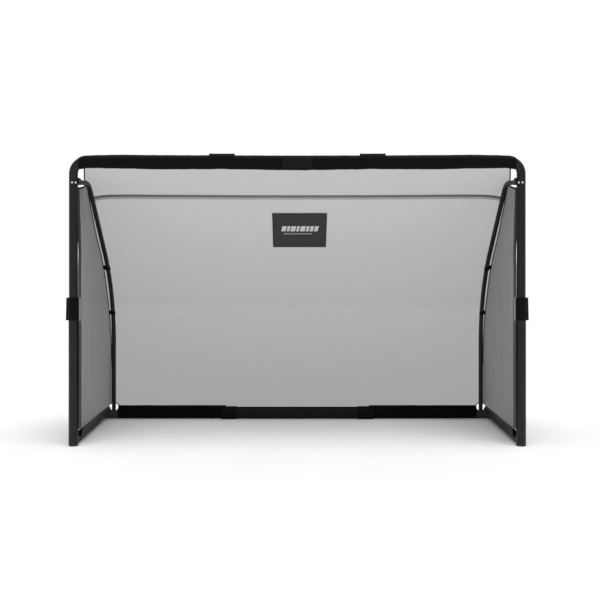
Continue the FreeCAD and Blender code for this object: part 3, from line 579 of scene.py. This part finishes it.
def base_sleeve(name, start, end, top_at, lean_at, seed, side, material):
    """Loose sleeve along the base frame from one distance of its route to another."""
    rows, around = [], 36
    count = max(int((end - start) / 0.010), 8)
    for i in range(count + 1):
        distance = mix(start, end, i / count)
        top = top_at(distance)
        pinch = mix(0.30, 0.86, smooth(top, CORNER_COVER_TOP, REAR_SLEEVE_TOP))
        edge = smooth(min(distance - start, end - distance), 0.0, 0.02)
        row = []
        for angle in turn(around):
            out, up = teardrop(angle, BASE_SLEEVE_RADIUS, top - BASE_Z,
                               BASE_Z - BASE_SLEEVE_LOW, pinch, 0.15)
            slack = 0.0016 * rumple(distance, angle * 0.02 + 0.4 * up, seed, 0.05)
            slack += 0.0009 * math.sin(
                angle * 6 + 9 * noise.noise(Vector((distance * 5, 0, seed))))
            shift = slack * abs(math.sin(angle)) * (0.35 + 0.65 * edge)
            out += math.copysign(max(shift, -SLEEVE_TUCK), out)
            out += lean_at(distance) * (max(up, 0.0) / (top - BASE_Z)) ** 1.5
            x, y, _ = BASE.at(distance, out)
            sag = 0.0012 * rumple(distance, 0.1, seed + 3, 0.12) * smooth(up, 0.0, 0.04)
            row.append((side * x, y, BASE_Z + up + sag))
        rows.append(row)
    thing = thicken(loft(f"{name}_cloth", rows, material, around=True), BASE_CLOTH_THICK, -side)
    seam = [[Vector(rows[r][k]) for r in range(1, len(rows) - 1)
             if top_at(mix(start, end, r / count)) > CORNER_COVER_TOP + 0.02] for k in (2, 3)]
    thread = stitches(f"{name}_stitches", seam, Vector((-side, -1, 0.3)).normalized())
    piece(thing, "sleeve_cloth", name)


def sleeves():
    """All sleeves. A side sleeve leans inward, and thins out where it wraps the corner."""
    outer = (BAR_JOINT_X + JOINT_BREAK, BAR_SLEEVE_END)
    inner = BAR_JOINT_X - JOINT_BREAK
    crossbar_sleeve("crossbar_sleeve_middle", -inner, inner, 3.1, 1.3)
    crossbar_sleeve("crossbar_sleeve_right", *outer, 7.7, 0.8)
    crossbar_sleeve("crossbar_sleeve_left", -outer[1], -outer[0], 1.9, 0.8)
    run_end, bend_end = BASE.pieces[1][0], BASE.pieces[2][0]
    wrap_end = run_end + 0.74 * (bend_end - run_end)
    rear_end = BASE.length - REAR_SLEEVE_END
    joint = BASE.length - REAR_JOINT_X

    def side_top(distance):
        return mix(SIDE_SLEEVE_TOP, CORNER_COVER_TOP,
                   smooth(distance, wrap_end, wrap_end + 0.006))

    def side_lean(distance):
        return SIDE_SLEEVE_LEAN * (1 - 0.6 * smooth(distance, run_end, wrap_end)) * (
            1 - smooth(distance, wrap_end - 0.004, wrap_end + 0.006))
    for word, side in SIDES.items():
        # The side sleeves get the paler cloth, which carries painted light.
        base_sleeve(f"side_sleeve_{word}", SIDE_SLEEVE_START, rear_end + 0.006, side_top,
                    side_lean, 2.0 * side, side, SIDE_CLOTH_PAINTED_LIGHT)
        base_sleeve(f"rear_sleeve_{word}", rear_end, joint - JOINT_BREAK,
                    lambda distance: REAR_SLEEVE_TOP, lambda distance: 0.0, 5.0 + side, side,
                    BASE_CLOTH)
    middle_rear_sleeve(REAR_JOINT_X - JOINT_BREAK)


def middle_rear_sleeve(half):
    """Loose sleeve between the two rear straps, closed by a sewn flap in the middle."""
    rows, around = [], 36
    count = int(2 * half / 0.010)
    for i in range(count + 1):
        x = mix(-half, half, i / count)
        flap = smooth(0.042 - abs(x), 0.0, 0.002) * 0.0011
        row = []
        for angle in turn(around):
            out, up = teardrop(angle, BASE_SLEEVE_RADIUS, MIDDLE_SLEEVE_TOP - BASE_Z,
                               BASE_Z - BASE_SLEEVE_LOW, 0.84, 0.15)
            slack = 0.0018 * rumple(x, angle * 0.02 + 0.4 * up, 8.3, 0.04)
            out += math.copysign(max(slack * abs(math.sin(angle)) + flap, -SLEEVE_TUCK), out)
            row.append((x, REAR_Y + out, BASE_Z + up))
        rows.append(row)
    thing = thicken(loft("rear_sleeve_middle_cloth", rows, MIDDLE_CLOTH, around=True),
                    BASE_CLOTH_THICK, 1)
    closure = []
    for x in (-0.040, -0.036, 0.036, 0.040):
        near = min(rows, key=lambda row: abs(row[0][0] - x))
        closure.append([Vector((x, near[k][1] - 0.0004, near[k][2]))
                        for k in range(around // 2 + 4, around - 2)])
    thread = stitches("rear_sleeve_closure_stitches", closure, FORWARD)
    piece(thing, "sleeve_cloth", "rear_sleeve_middle")


# ---------------- straps

def wound_section(start, turns, count, rise, lap_start, lap_end, size):
    """Section of a strap wound round a sleeve, lifted by its own thickness where it laps.

    `size` turns the lift into the teardrop's radius, heights and pinches.
    """
    section = []
    for k in range(count + 1):
        share = k / count
        angle = math.radians(start) - 2 * math.pi * turns * share
        lap = rise * smooth(share, 1 - lap_start, 1 - lap_end)
        section.append((*teardrop(angle, *size(lap)), share))
    return section


def wrap_strap(name, width, section, place, thickness, offset=-1, sewn=True):
    """A webbing band; `place` turns a width, a section point and the edge's lip into a point."""
    rows, across = [], 14
    for i in range(across + 1):
        w = mix(-width / 2, width / 2, i / across)
        lip = 0.0006 * smooth(abs(w), width / 2 - 0.012, width / 2 - 0.006)
        rows.append([Vector(place(w, *p, lip)) for p in section])
    thing = thicken(loft(f"{name}_webbing", rows, STRAP), thickness, offset, 0.0004)
    opposite = [row[len(row) // share] for share in (2, 4) for row in rows]
    centre = sum(opposite, Vector()) / len(opposite)

    def outward(p):
        return Vector((0, p.y - centre.y, p.z - centre.z)).normalized()
    if sewn:
        stitches(f"{name}_stitches", [rows[1], rows[-2]], outward)
    piece(thing, "strap_webbing", name)


def crossbar_straps():
    """Hook-and-loop straps that cover the crossbar's two joints."""
    section = wound_section(-150, 1.16, 64, 0.0023, 0.20, 0.13, lambda lap: (
        0.0300 + lap, 0.0345 + lap, 0.0400 + lap, 0.0, 0.50))
    for word, side in SIDES.items():
        def place(w, y, z, share, lip, side=side):
            front = smooth(-y, -0.005, 0.024) * smooth(-z, -0.022, 0.020)
            shift = STRAP_SKEW * front * side
            wave = 0.0007 * rumple(w, share, side * 4.2, 0.05)
            grow = 1 + (wave + lip) / 0.03
            return side * BAR_JOINT_X + w + shift, POST_Y + y * grow, BAR_Z + z * grow
        wrap_strap(f"crossbar_strap_{word}", STRAP_WIDTH, section, place,
                   STRAP_THICK)


def rear_straps():
    """Straps round the rear bar's joints, flattened where they meet the floor."""
    section = wound_section(-40, 1.12, 56, 0.0018, 0.17, 0.11, lambda lap: (
        0.0243 + lap, 0.0500 + lap, 0.0290, 0.70, 0.10))
    for word, side in SIDES.items():
        def place(w, y, z, share, lip, side=side):
            wave = 0.0009 * rumple(w, share, side * 2.2, 0.04)
            grow = 1 + (wave + lip) / 0.03
            return (side * REAR_JOINT_X + w, REAR_Y + y * grow,
                    BASE_Z + max(z * grow, 0.0012 - BASE_Z))
        wrap_strap(f"rear_strap_{word}", REAR_STRAP_WIDTH, section, place,
                   REAR_STRAP_THICK)


def post_straps():
    """Straps round the leg joints, pressed together into a tab on the outer side."""
    around = 40
    wrap = LEG_RADIUS + 0.0032
    tab = LEG_RADIUS + POST_STRAP_OUT
    ring = []
    for k in range(around + 1):
        angle = math.radians(mix(-152, 152, k / around))
        out = -math.cos(angle) * wrap
        y = math.sin(angle) * wrap * (1 - 0.10 * smooth(out, 0.4 * wrap, wrap))
        ring.append((out, y, k / around))
    steps = (0.2, 0.4, 0.6, 0.8, 1.0)
    front, back = [[(mix(end[0], tab, t), mix(end[1], meet, smooth(t)), end[2]) for t in steps]
                   for end, meet in ((ring[0], -0.0022), (ring[-1], 0.0004))]
    section = front[::-1] + ring + back
    for word, side in SIDES.items():
        def place(w, out, y, share, lip, side=side):
            slant = 0.003 * (w / POST_STRAP_HEIGHT) * smooth(out, 0.0, tab)
            wave = 0.0008 * rumple(w, out + y, side * 3.3, 0.035)
            return (side * (POST_X + out - slant), POST_Y + y * (1 + (wave + lip) / wrap),
                    POST_STRAP_Z + w)
        wrap_strap(f"post_strap_{word}", POST_STRAP_HEIGHT, section, place,
                   STRAP_THICK, -side, sewn=False)


# ---------------- net

def seam_out(distance):
    """How far outside the arc the corner seam runs, by distance along the arc."""
    return through([(NET_LANDING, 0.002), (ARC_SLOPE_START, 0.019), (RIDGE + 0.09, 0.026),
                    (ARC_SLOPE_END - 0.15, 0.031), (ARC_SLOPE_END + 0.30, 0.031),
                    (ARC_SLOPE_END + 0.42, 0.027), (ARC_DROP_START, 0.021),
                    (ARC_DROP_START + 0.10, 0.018), (ARC_DROP_START + 0.22, 0.009),
                    (ARC.length - 0.08, 0.006)], distance)


def seam_point(distance):
    """A point of the right-hand corner seam in x, y and z."""
    depth, z, _ = ARC.at(distance, NET_OVER_ARC)
    return Vector((POST_X + seam_out(distance), POST_Y + depth, z))


def ridge_point(x):
    """The ridge seam at x: over the arcs at its ends, and a little slack between them."""
    end = seam_point(RIDGE)
    near = math.exp(-max(end.x - abs(x), 0) / 0.055)
    middle_z = 1.3685 - 0.007 * (1 - (x / end.x) ** 2)
    return Vector((x, mix(POST_Y + 0.362, end.y, near), mix(middle_z, end.z, near)))


def back_net():
    """Back net from the ridge seam to the rear sleeves, in one sheet.

    It lies over the arcs at its sides, hangs free between them, and its lower edge tucks into
    the sleeves. Ripples stay clear of the patch.
    """
    columns, rows_down = 150, 120
    sleeve_foot = ARC.length - (REAR_SLEEVE_TOP - 0.007 - ARC_FOOT_Z)
    rows = []
    for r in range(rows_down + 1):
        t = r / rows_down
        row = []
        for c in range(columns + 1):
            u = 2 * c / columns - 1
            corner = smooth(abs(u) * seam_point(NET_FOOT).x, REAR_SLEEVE_END - 0.002,
                            REAR_SLEEVE_END + 0.010)
            foot = mix(sleeve_foot, NET_FOOT, corner)
            distance = mix(RIDGE, foot, t)
            half = POST_X + seam_out(distance)
            x = u * half
            edge = math.exp(-(half - abs(x)) / 0.09)
            on_slope = 1 - smooth(distance, RIDGE, ARC_SLOPE_END + 0.2)
            free = 1 - smooth(distance, foot - 0.16, foot) * (1 - corner)
            ripple = 0.0045 * rumple(x * 1.6, distance * 0.45, 4.4, 0.20)
            ripple += 0.0025 * math.exp(-(half - abs(x)) / 0.25) * rumple(
                x * 5, distance * 0.6, 9.2, 0.30)
            ripple *= smooth(max(abs(x) / PATCH_WIDTH, abs(distance - PATCH_DOWN) / 0.30),
                             0.5, 0.8)
            offset = mix(NET_OFFSET * (1 - on_slope), NET_OVER_ARC, edge)
            offset = free * (offset + ripple * (1 - edge) * smooth(t, 0, 0.05))
            depth, z, _ = ARC.at(distance, offset)
            top = ridge_point(x)
            join = 1 - smooth(t, 0.0, 0.12)
            row.append((x, mix(POST_Y + depth, top.y, join), mix(z, top.z, join)))
        rows.append(row)
    return piece(loft("back_net_mesh", rows, BACK_NET), "net_mesh", "back_net")


def top_edge(t):
    """The top net's right-hand edge from the crossbar sleeve over the arc to the ridge."""
    share = 0.56                 # of the edge is free; the rest lies on the arc
    if t < share:
        start = Vector((NET_EDGE, POST_Y + NET_BACK, BAR_Z - NET_START))
        return start.lerp(seam_point(NET_LANDING), t / share)
    return seam_point(mix(NET_LANDING, RIDGE, (t - share) / (1 - share)))


def top_net():
    """Top net from the crossbar sleeves back to the ridge seam."""
    columns, rows_back = 150, 28
    rows = []
    for r in range(rows_back + 1):
        t = r / rows_back
        edge = top_edge(t)
        bow = math.sin(math.pi * t)
        row = []
        for c in range(columns + 1):
            x = (2 * c / columns - 1) * edge.x
            near = math.exp(-(edge.x - abs(x)) / 0.055)
            start = Vector((x, POST_Y + NET_BACK, BAR_Z - NET_START))
            p = start.lerp(ridge_point(x), t)
            p.z += bow * (0.003 * rumple(x * 1.5, t * 0.3, 6.1, 0.2) - 0.006)
            row.append((x, mix(p.y, edge.y, near), mix(p.z, edge.z, near)))
        rows.append(row)
    return piece(loft("top_net_mesh", rows, BACK_NET), "net_mesh", "top_net")


def hem_place(z):
    """Inner edge of a front hem at a height, and how far it lies behind the post axis."""
    return through(HEM_INNER, z), 0.024 * smooth(z, 0.80, 1.10)


def side_net_point(u, v, side):
    """A side net from its front hem, u 0, to the corner seam, u 1, and up from the base, v 0."""
    seed = 3.0 + side
    bow = math.sin(math.pi * u)
    z = mix(NET_LOW - 0.014, HEM_TOP, v)
    inner, behind = hem_place(z)
    front = Vector((inner + 0.012, POST_Y + 0.0025 + behind, z))
    rear = seam_point(mix(NET_FOOT, SIDE_NET_TOP, v))
    rear.z -= 0.012 * smooth(v, 0.97, 1.0)
    p = front.lerp(rear, u)
    # The lower part is drawn out over the flared base, and the rest bellies and folds.
    low = 1 - smooth(v, 0.02, 0.30)
    p.x += low * smooth(u, 0.1, 0.9) * (1 - smooth(u, 0.965, 1.0)) * 0.024
    p.x += 0.006 * bow * math.sin(math.pi * min(v * 1.05, 1))
    hang = smooth(v, 0.35, 1.0) * math.sin(math.pi * min(u * 1.3, 1.0))
    p.x += 0.0065 * hang * rumple(u * 1.9, v * 0.25, seed, 0.22)
    p.x += 0.003 * bow * (1 - low) * rumple(u * 0.9, v * 0.8, seed + 4, 0.12)
    # The top edge hangs a little, and the lower edge tucks into the side sleeve.
    p.z -= 0.007 * bow * smooth(v, 0.9, 1.0)
    p.z -= 0.022 * (1 - smooth(v, 0.0, 0.03)) * smooth(u, 0.1, 0.6) * (
        1 - smooth(u, 0.945, 0.965))
    return (side * p.x, p.y, p.z)


def side_nets():
    columns, rows_up, made = 90, 100, {}
    for word, side in SIDES.items():
        rows = [[side_net_point(c / columns, r / rows_up, side) for c in range(columns + 1)]
                for r in range(rows_up + 1)]
        made[word] = piece(loft(f"side_net_{word}_mesh", rows, SIDE_NET), "net_mesh",
                           f"side_net_{word}")
    return made


# ---------------- bindings, hems and ties

def window_ring():
    """Edge of the right-hand foot window, from the side sleeve over the arc to the rear one."""
    inner, back = REAR_SLEEVE_END, REAR_Y + NET_OVER_ARC
    outer = Vector(side_net_point(0.965, 0.0, 1))
    return [(outer.x, outer.y - 0.012, CORNER_COVER_TOP + 0.012),
            (outer.x + 0.002, outer.y - 0.002, WINDOW_TOP - 0.008),
            (outer.x - 0.010, outer.y + 0.012, WINDOW_TOP + 0.002),
            (POST_X + 0.008, back, WINDOW_TOP + 0.003),
            (POST_X - 0.008, back, WINDOW_TOP + 0.003),
            (inner + 0.014, back - 0.001, WINDOW_TOP + 0.001),
            (inner + 0.004, back - 0.004, WINDOW_TOP - 0.007),
            (inner - 0.001, back - 0.010, WINDOW_TOP - 0.016),
            (inner - 0.001, back - 0.016, 0.070),
            (inner + 0.003, back - 0.017, CORNER_COVER_TOP + 0.004),
            (inner + 0.012, back - 0.016, CORNER_COVER_TOP)]


def bindings():
    """Tape sewn over the net's edges: corner seams, side net tops and foot windows."""
    corner = [top_edge(t / 14) for t in range(15)]
    corner += [seam_point(mix(RIDGE, NET_FOOT, t / 90)) for t in range(1, 91)]
    made = {}
    for word, side in SIDES.items():
        def flip(points, side=side):
            return [Vector((side * x, y, z)) for x, y, z in points]
        top = [Vector(side_net_point(u / 24, 1.0, side)) for u in range(25)]
        made[word] = [
            tube_along(f"corner_seam_{word}", flip(corner), 0.0030, Vector((side, 0, 0)), 1.1),
            tube_along(f"side_net_top_hem_{word}", top, 0.0048, SIDEWAYS, 0.45),
            tube_along(f"foot_window_binding_{word}", flip(window_ring()), 0.0038, -FORWARD)]
        rounded = made[word][-1].modifiers.new("smooth", "SUBSURF")
        rounded.levels = rounded.render_levels = 1
        for tape in made[word]:
            piece(tape, "hem_webbing")
    return made


def ridge_tape():
    """Seam tape under the ridge, with the doubled net hem below it."""
    count, made = 120, []
    end = seam_point(RIDGE).x - 0.004
    for name, first, last, material, lift in (
            ("ridge_tape", -0.003, 0.014, RIDGE_TAPE, 0.0016),
            ("ridge_hem", 0.013, 0.030, BACK_NET, 0.0012)):
        rows = []
        for c in range(count + 1):
            x = mix(-end, end, c / count)
            p = ridge_point(x)
            wobble = 0.0015 * rumple(x, 0.3, 2.2, 0.08)
            row = []
            for k in range(4):
                down = mix(first, last, k / 3) + wobble
                row.append((x, p.y + down * 0.72 - lift, p.z - down * 0.70 - lift))
            rows.append(row)
        made.append(piece(loft(name, rows, material), "hem_webbing"))
    return made


def front_hems():
    """Webbing down the front edge of each side net, with a bound slot for the post strap."""
    slot_low = POST_STRAP_Z - POST_STRAP_HEIGHT / 2
    slot_high = POST_STRAP_Z + POST_STRAP_HEIGHT / 2
    made = {}
    for word, side in SIDES.items():
        parts = []
        for part, low, high in (("low", NET_LOW, slot_low - 0.002),
                                ("high", slot_high + 0.002, HEM_TOP - 0.006)):
            rows = []
            count = int((high - low) / 0.012)
            for r in range(count + 1):
                z = mix(low, high, r / count)
                inner, behind = hem_place(z)
                sway = 0.0006 * rumple(z, 0.2, side * 5.5, 0.09)
                rows.append([(side * (inner + HEM_WIDTH * k / 4),
                              POST_Y + behind + sway - 0.0012 * math.sin(math.pi * k / 4), z)
                             for k in range(5)])
            parts.append(thicken(loft(f"front_hem_{part}_{word}", rows, HEM_PAINTED_LIGHT), 0.0016,
                                 rounding=0.0004))
        piece(parts[0], "hem_webbing", f"front_hem_{word}")
        piece(parts[1], "hem_webbing")
        for edge, across, radius, bulge in (("inner", -0.0006, 0.0011, 0.0015),
                                            ("outer", HEM_WIDTH, 0.0014, 0.0)):
            points = []
            for r in range(101):
                z = mix(NET_LOW - 0.006, HEM_TOP, r / 100)
                inner, behind = hem_place(z)
                at_slot = smooth(z, slot_low - 0.004, slot_low + 0.012) * (
                    1 - smooth(z, slot_high - 0.012, slot_high + 0.004))
                points.append(Vector((side * (inner + across - bulge * at_slot),
                                      POST_Y + behind, z)))
            cord = tube_along(f"front_hem_{edge}_edge_{word}", points, radius, SIDEWAYS)
            parts.append(piece(cord, "hem_webbing"))
        made[word] = parts
    return made


def net_panels():
    """Builds the four net panels with their tapes."""
    back, top, side = back_net(), top_net(), side_nets()
    tapes, hems, ridge = bindings(), front_hems(), ridge_tape()
    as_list(ridge)


def arc_ties():
    """Webbing loops that hold each corner seam to its arc."""
    made = []
    for word, side in SIDES.items():
        for place, angle in (("high", 37.0), ("low", 14.5)):
            distance = ARC_SLOPE_END + ARC_SWEEP * (ARC_SLOPE - math.radians(angle))
            rows, around = [], 44
            reach = seam_out(distance) - ARC_RADIUS
            for i in range(7):
                w = mix(-0.010, 0.010, i / 6)
                row = []
                for angle in turn(around):
                    out = math.cos(angle) * (ARC_RADIUS + 0.0012)
                    lift = math.sin(angle) * (ARC_RADIUS + 0.0012)
                    pull = smooth(math.cos(angle), 0.2, 1.0)
                    out += reach * pull
                    lift = lift * (1 - 0.4 * pull) + (ARC_RADIUS + 0.002) * 0.8 * pull
                    depth, z, _ = ARC.at(distance + w, lift)
                    row.append((side * (POST_X + out), POST_Y + depth, z))
                rows.append(row)
            tie = thicken(loft(f"arc_tie_{place}_{word}", rows, STRAP, around=True), 0.0012)
            made.append(tie)
    piece(made[0], "strap_webbing", "arc_ties")
    for tie in made[1:]:
        piece(tie, "strap_webbing")


# ---------------- patch, mark, tab and stitches

def net_surface(x, y):
    """Height of the back net's slope at a place inside it, and its slope's unit vector."""
    top = ridge_point(x)
    low = ARC.at(ARC_SLOPE_END + 0.02, NET_OFFSET - 0.006)
    share = (y - top.y) / (POST_Y + low[0] - top.y)
    along = Vector((0, POST_Y + low[0] - top.y, low[1] - top.z)).normalized()
    return mix(top.z, low[1], share), along


def patch():
    """Cloth patch sewn on the net, with a folded border and a plain printed pattern."""
    z, along = net_surface(0, PATCH_Y)
    outward = Vector((0, along.z, -along.y))
    centre = Vector((PATCH_X, PATCH_Y, z)) + outward * 0.009

    def spot(u, v, lift=0.0):
        wave = 0.0016 * rumple(u, v, 5.1, 0.07)
        border = 0.0010 * smooth(max(abs(u) / PATCH_WIDTH, abs(v) / PATCH_HEIGHT), 0.44, 0.46)
        return centre + Vector((u, 0, 0)) - along * v + outward * (lift + wave + border)
    rows = [[spot(mix(-0.5, 0.5, c / 46) * PATCH_WIDTH, mix(-0.5, 0.5, r / 38) * PATCH_HEIGHT)
             for c in range(47)] for r in range(39)]
    cloth = thicken(loft("net_patch_cloth", rows, PATCH), 0.0010, 0)
    piece(cloth, "patch_cloth", "net_patch")
    hem = [spot(u, v, 0.0008) for u, v in frame_line(PATCH_WIDTH - 0.018, PATCH_HEIGHT - 0.018)]
    thread = stitches("patch_stitches", [hem], outward)
    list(patch_print(spot))


def frame_line(width, height):
    """The outline of a rectangle as one closed run."""
    corners = [(-1, -1), (1, -1), (1, 1), (-1, 1), (-1, -1)]
    line = []
    for (a, b), (c, d) in zip(corners, corners[1:]):
        line += [(mix(a, c, k / 40) * width / 2, mix(b, d, k / 40) * height / 2)
                 for k in range(40)]
    return line + [(-width / 2, -height / 2)]


def patch_print(spot):
    """A row of plain slanted blocks over a thin line, printed on the patch."""
    made = []
    blocks = [(-0.108, -0.082), (-0.076, -0.060), (-0.054, -0.026), (-0.020, -0.004),
              (0.002, 0.032), (0.038, 0.054), (0.060, 0.080), (0.086, 0.108)]
    for name, runs, low, high, material in (
            ("patch_blocks", blocks, -0.006, 0.034, MARK),
            ("patch_line", [(-0.090, 0.078)], -0.030, -0.019, MARK_LINE)):
        vertices, faces, uvs = [], [], []
        for first, last in runs:
            steps = max(int((last - first) / 0.006), 2)
            for k in range(steps + 1):
                for v in (low, high):
                    u = mix(first, last, k / steps) + 0.2 * v
                    vertices.append(spot(u, v, 0.0018))
                    uvs.append((u, v))
            start = len(vertices) - 2 * (steps + 1)
            faces += [(start + 2 * k, start + 2 * k + 2, start + 2 * k + 3, start + 2 * k + 1)
                      for k in range(steps)]
        thing = mesh_of(name, vertices, faces, uvs, material, sharp=True)
        made.append(piece(thicken(thing, 0.0004, 0), "patch_cloth"))
    return made


def crossbar_tab():
    """Blank cloth tab sewn to the front of the crossbar's middle sleeve."""
    def bow(v):
        return 0.0265 - 0.0065 * smooth(-v, 0.0, TAB_HALF)
    rows = []
    for r in range(13):
        v = mix(-TAB_HALF, TAB_HALF, r / 12)
        rows.append([(u, POST_Y - bow(v) - 0.0008 * rumple(u, v, 1.4, 0.05), TAB_Z + v * 0.98)
                     for u in (mix(-TAB_REACH, TAB_REACH, c / 30) for c in range(31))])
    tab = thicken(loft("crossbar_tab_cloth", rows, TAB_CLOTH), 0.0014, 1, 0.0003)
    piece(tab, "patch_cloth", "crossbar_tab")
    hem = [Vector((u, POST_Y - bow(v) - 0.0035, TAB_Z + v)) for u, v in frame_line(0.146, 0.042)]
    thread = stitches("crossbar_tab_stitches", [hem], FORWARD)


def stitches(name, lines, outward, pitch=0.0048, length=0.0034, radius=0.0005):
    """Rows of lockstitch, each a small rounded thread, along lines of points."""
    sides = 5
    vertices, faces, uvs = [], [], []
    for line in lines:
        spent, need = 0.0, 0.0
        for a, b in zip(line, line[1:]):
            gap = (b - a).length
            ahead = (b - a) / gap
            lift = outward if isinstance(outward, Vector) else outward(a)
            across = ahead.cross(lift).normalized()
            up = across.cross(ahead).normalized()
            while need < spent + gap:
                base = a + ahead * (need - spent)
                start = len(vertices)
                for share, size in ((0.0, 0.35), (0.5, 1.0), (1.0, 0.35)):
                    for k, angle in enumerate(turn(sides)):
                        vertices.append(base + ahead * length * share + radius * size * (
                            across * math.cos(angle) + up * (0.5 + math.sin(angle))))
                        uvs.append((share * length, k * radius))
                for ring in (start, start + sides):
                    for k in range(sides):
                        n = (k + 1) % sides
                        faces.append((ring + k, ring + n, ring + sides + n, ring + sides + k))
                faces.append(tuple(start + k for k in reversed(range(sides))))
                faces.append(tuple(start + 2 * sides + k for k in range(sides)))
                need += pitch
            spent += gap
    return piece(mesh_of(name, vertices, faces, uvs, THREAD), "strap_webbing")


# ---------------- stage, light and camera

def stage():
    """Pale floor that goes out to white, soft overhead light and the front camera."""
    size = 60
    corners = [(-size, -size, 0), (size, -size, 0), (size, size, 0), (-size, size, 0)]
    mesh_of("studio_floor", corners, [(0, 1, 2, 3)],
                     [(0, 0), (1, 0), (1, 1), (0, 1)], floor_material())

    world = bpy.data.worlds.new("studio")
    world.use_nodes = True
    tree = world.node_tree
    white = (1, 1, 1, 1)
    sky = feed(tree, tree.nodes["Background"], {"Color": white, "Strength": 0.55})
    backdrop = add(tree, "ShaderNodeBackground", {"Color": white, "Strength": 1.0})
    seen = add(tree, "ShaderNodeLightPath").outputs["Is Camera Ray"]
    choose = add(tree, "ShaderNodeMixShader",
                 {"Fac": seen, 1: sky.outputs[0], 2: backdrop.outputs[0]})
    feed(tree, tree.nodes["World Output"], {"Surface": choose.outputs[0]})
    bpy.context.scene.world = world

    overhead = bpy.data.lights.new("overhead", "SUN")
    overhead.energy = 2.15
    overhead.angle = math.radians(44)
    lamp = put("overhead", overhead)
    lamp.rotation_euler = (math.radians(14), math.radians(4), 0)

    lens = bpy.data.cameras.new("front")
    lens.lens = 46.86
    lens.sensor_width = 36
    lens.shift_x = 0.0045
    lens.shift_y = -0.005
    camera = put("front", lens)
    camera.location = (0, POST_Y - 4.10, 0.781)
    camera.rotation_euler = (math.pi / 2, 0, 0)
    bpy.context.scene.camera = camera
    bpy.context.scene.view_settings.view_transform = "Standard"


def floor_material():
    material, tree, shader, at = new_material("floor", "Object", Specular_IOR_Level=0.1)
    cloud = noise_of(tree, at, 1.5, 3)
    finish(tree, shader, ramp(tree, cloud, grey(0.885), grey(0.905)),
           remap(tree, cloud, 0.7, 0.8))
    return material


stage()
button_springs()
sleeves()
crossbar_straps()
rear_straps()
post_straps()
net_panels()
arc_ties()
patch()
crossbar_tab()
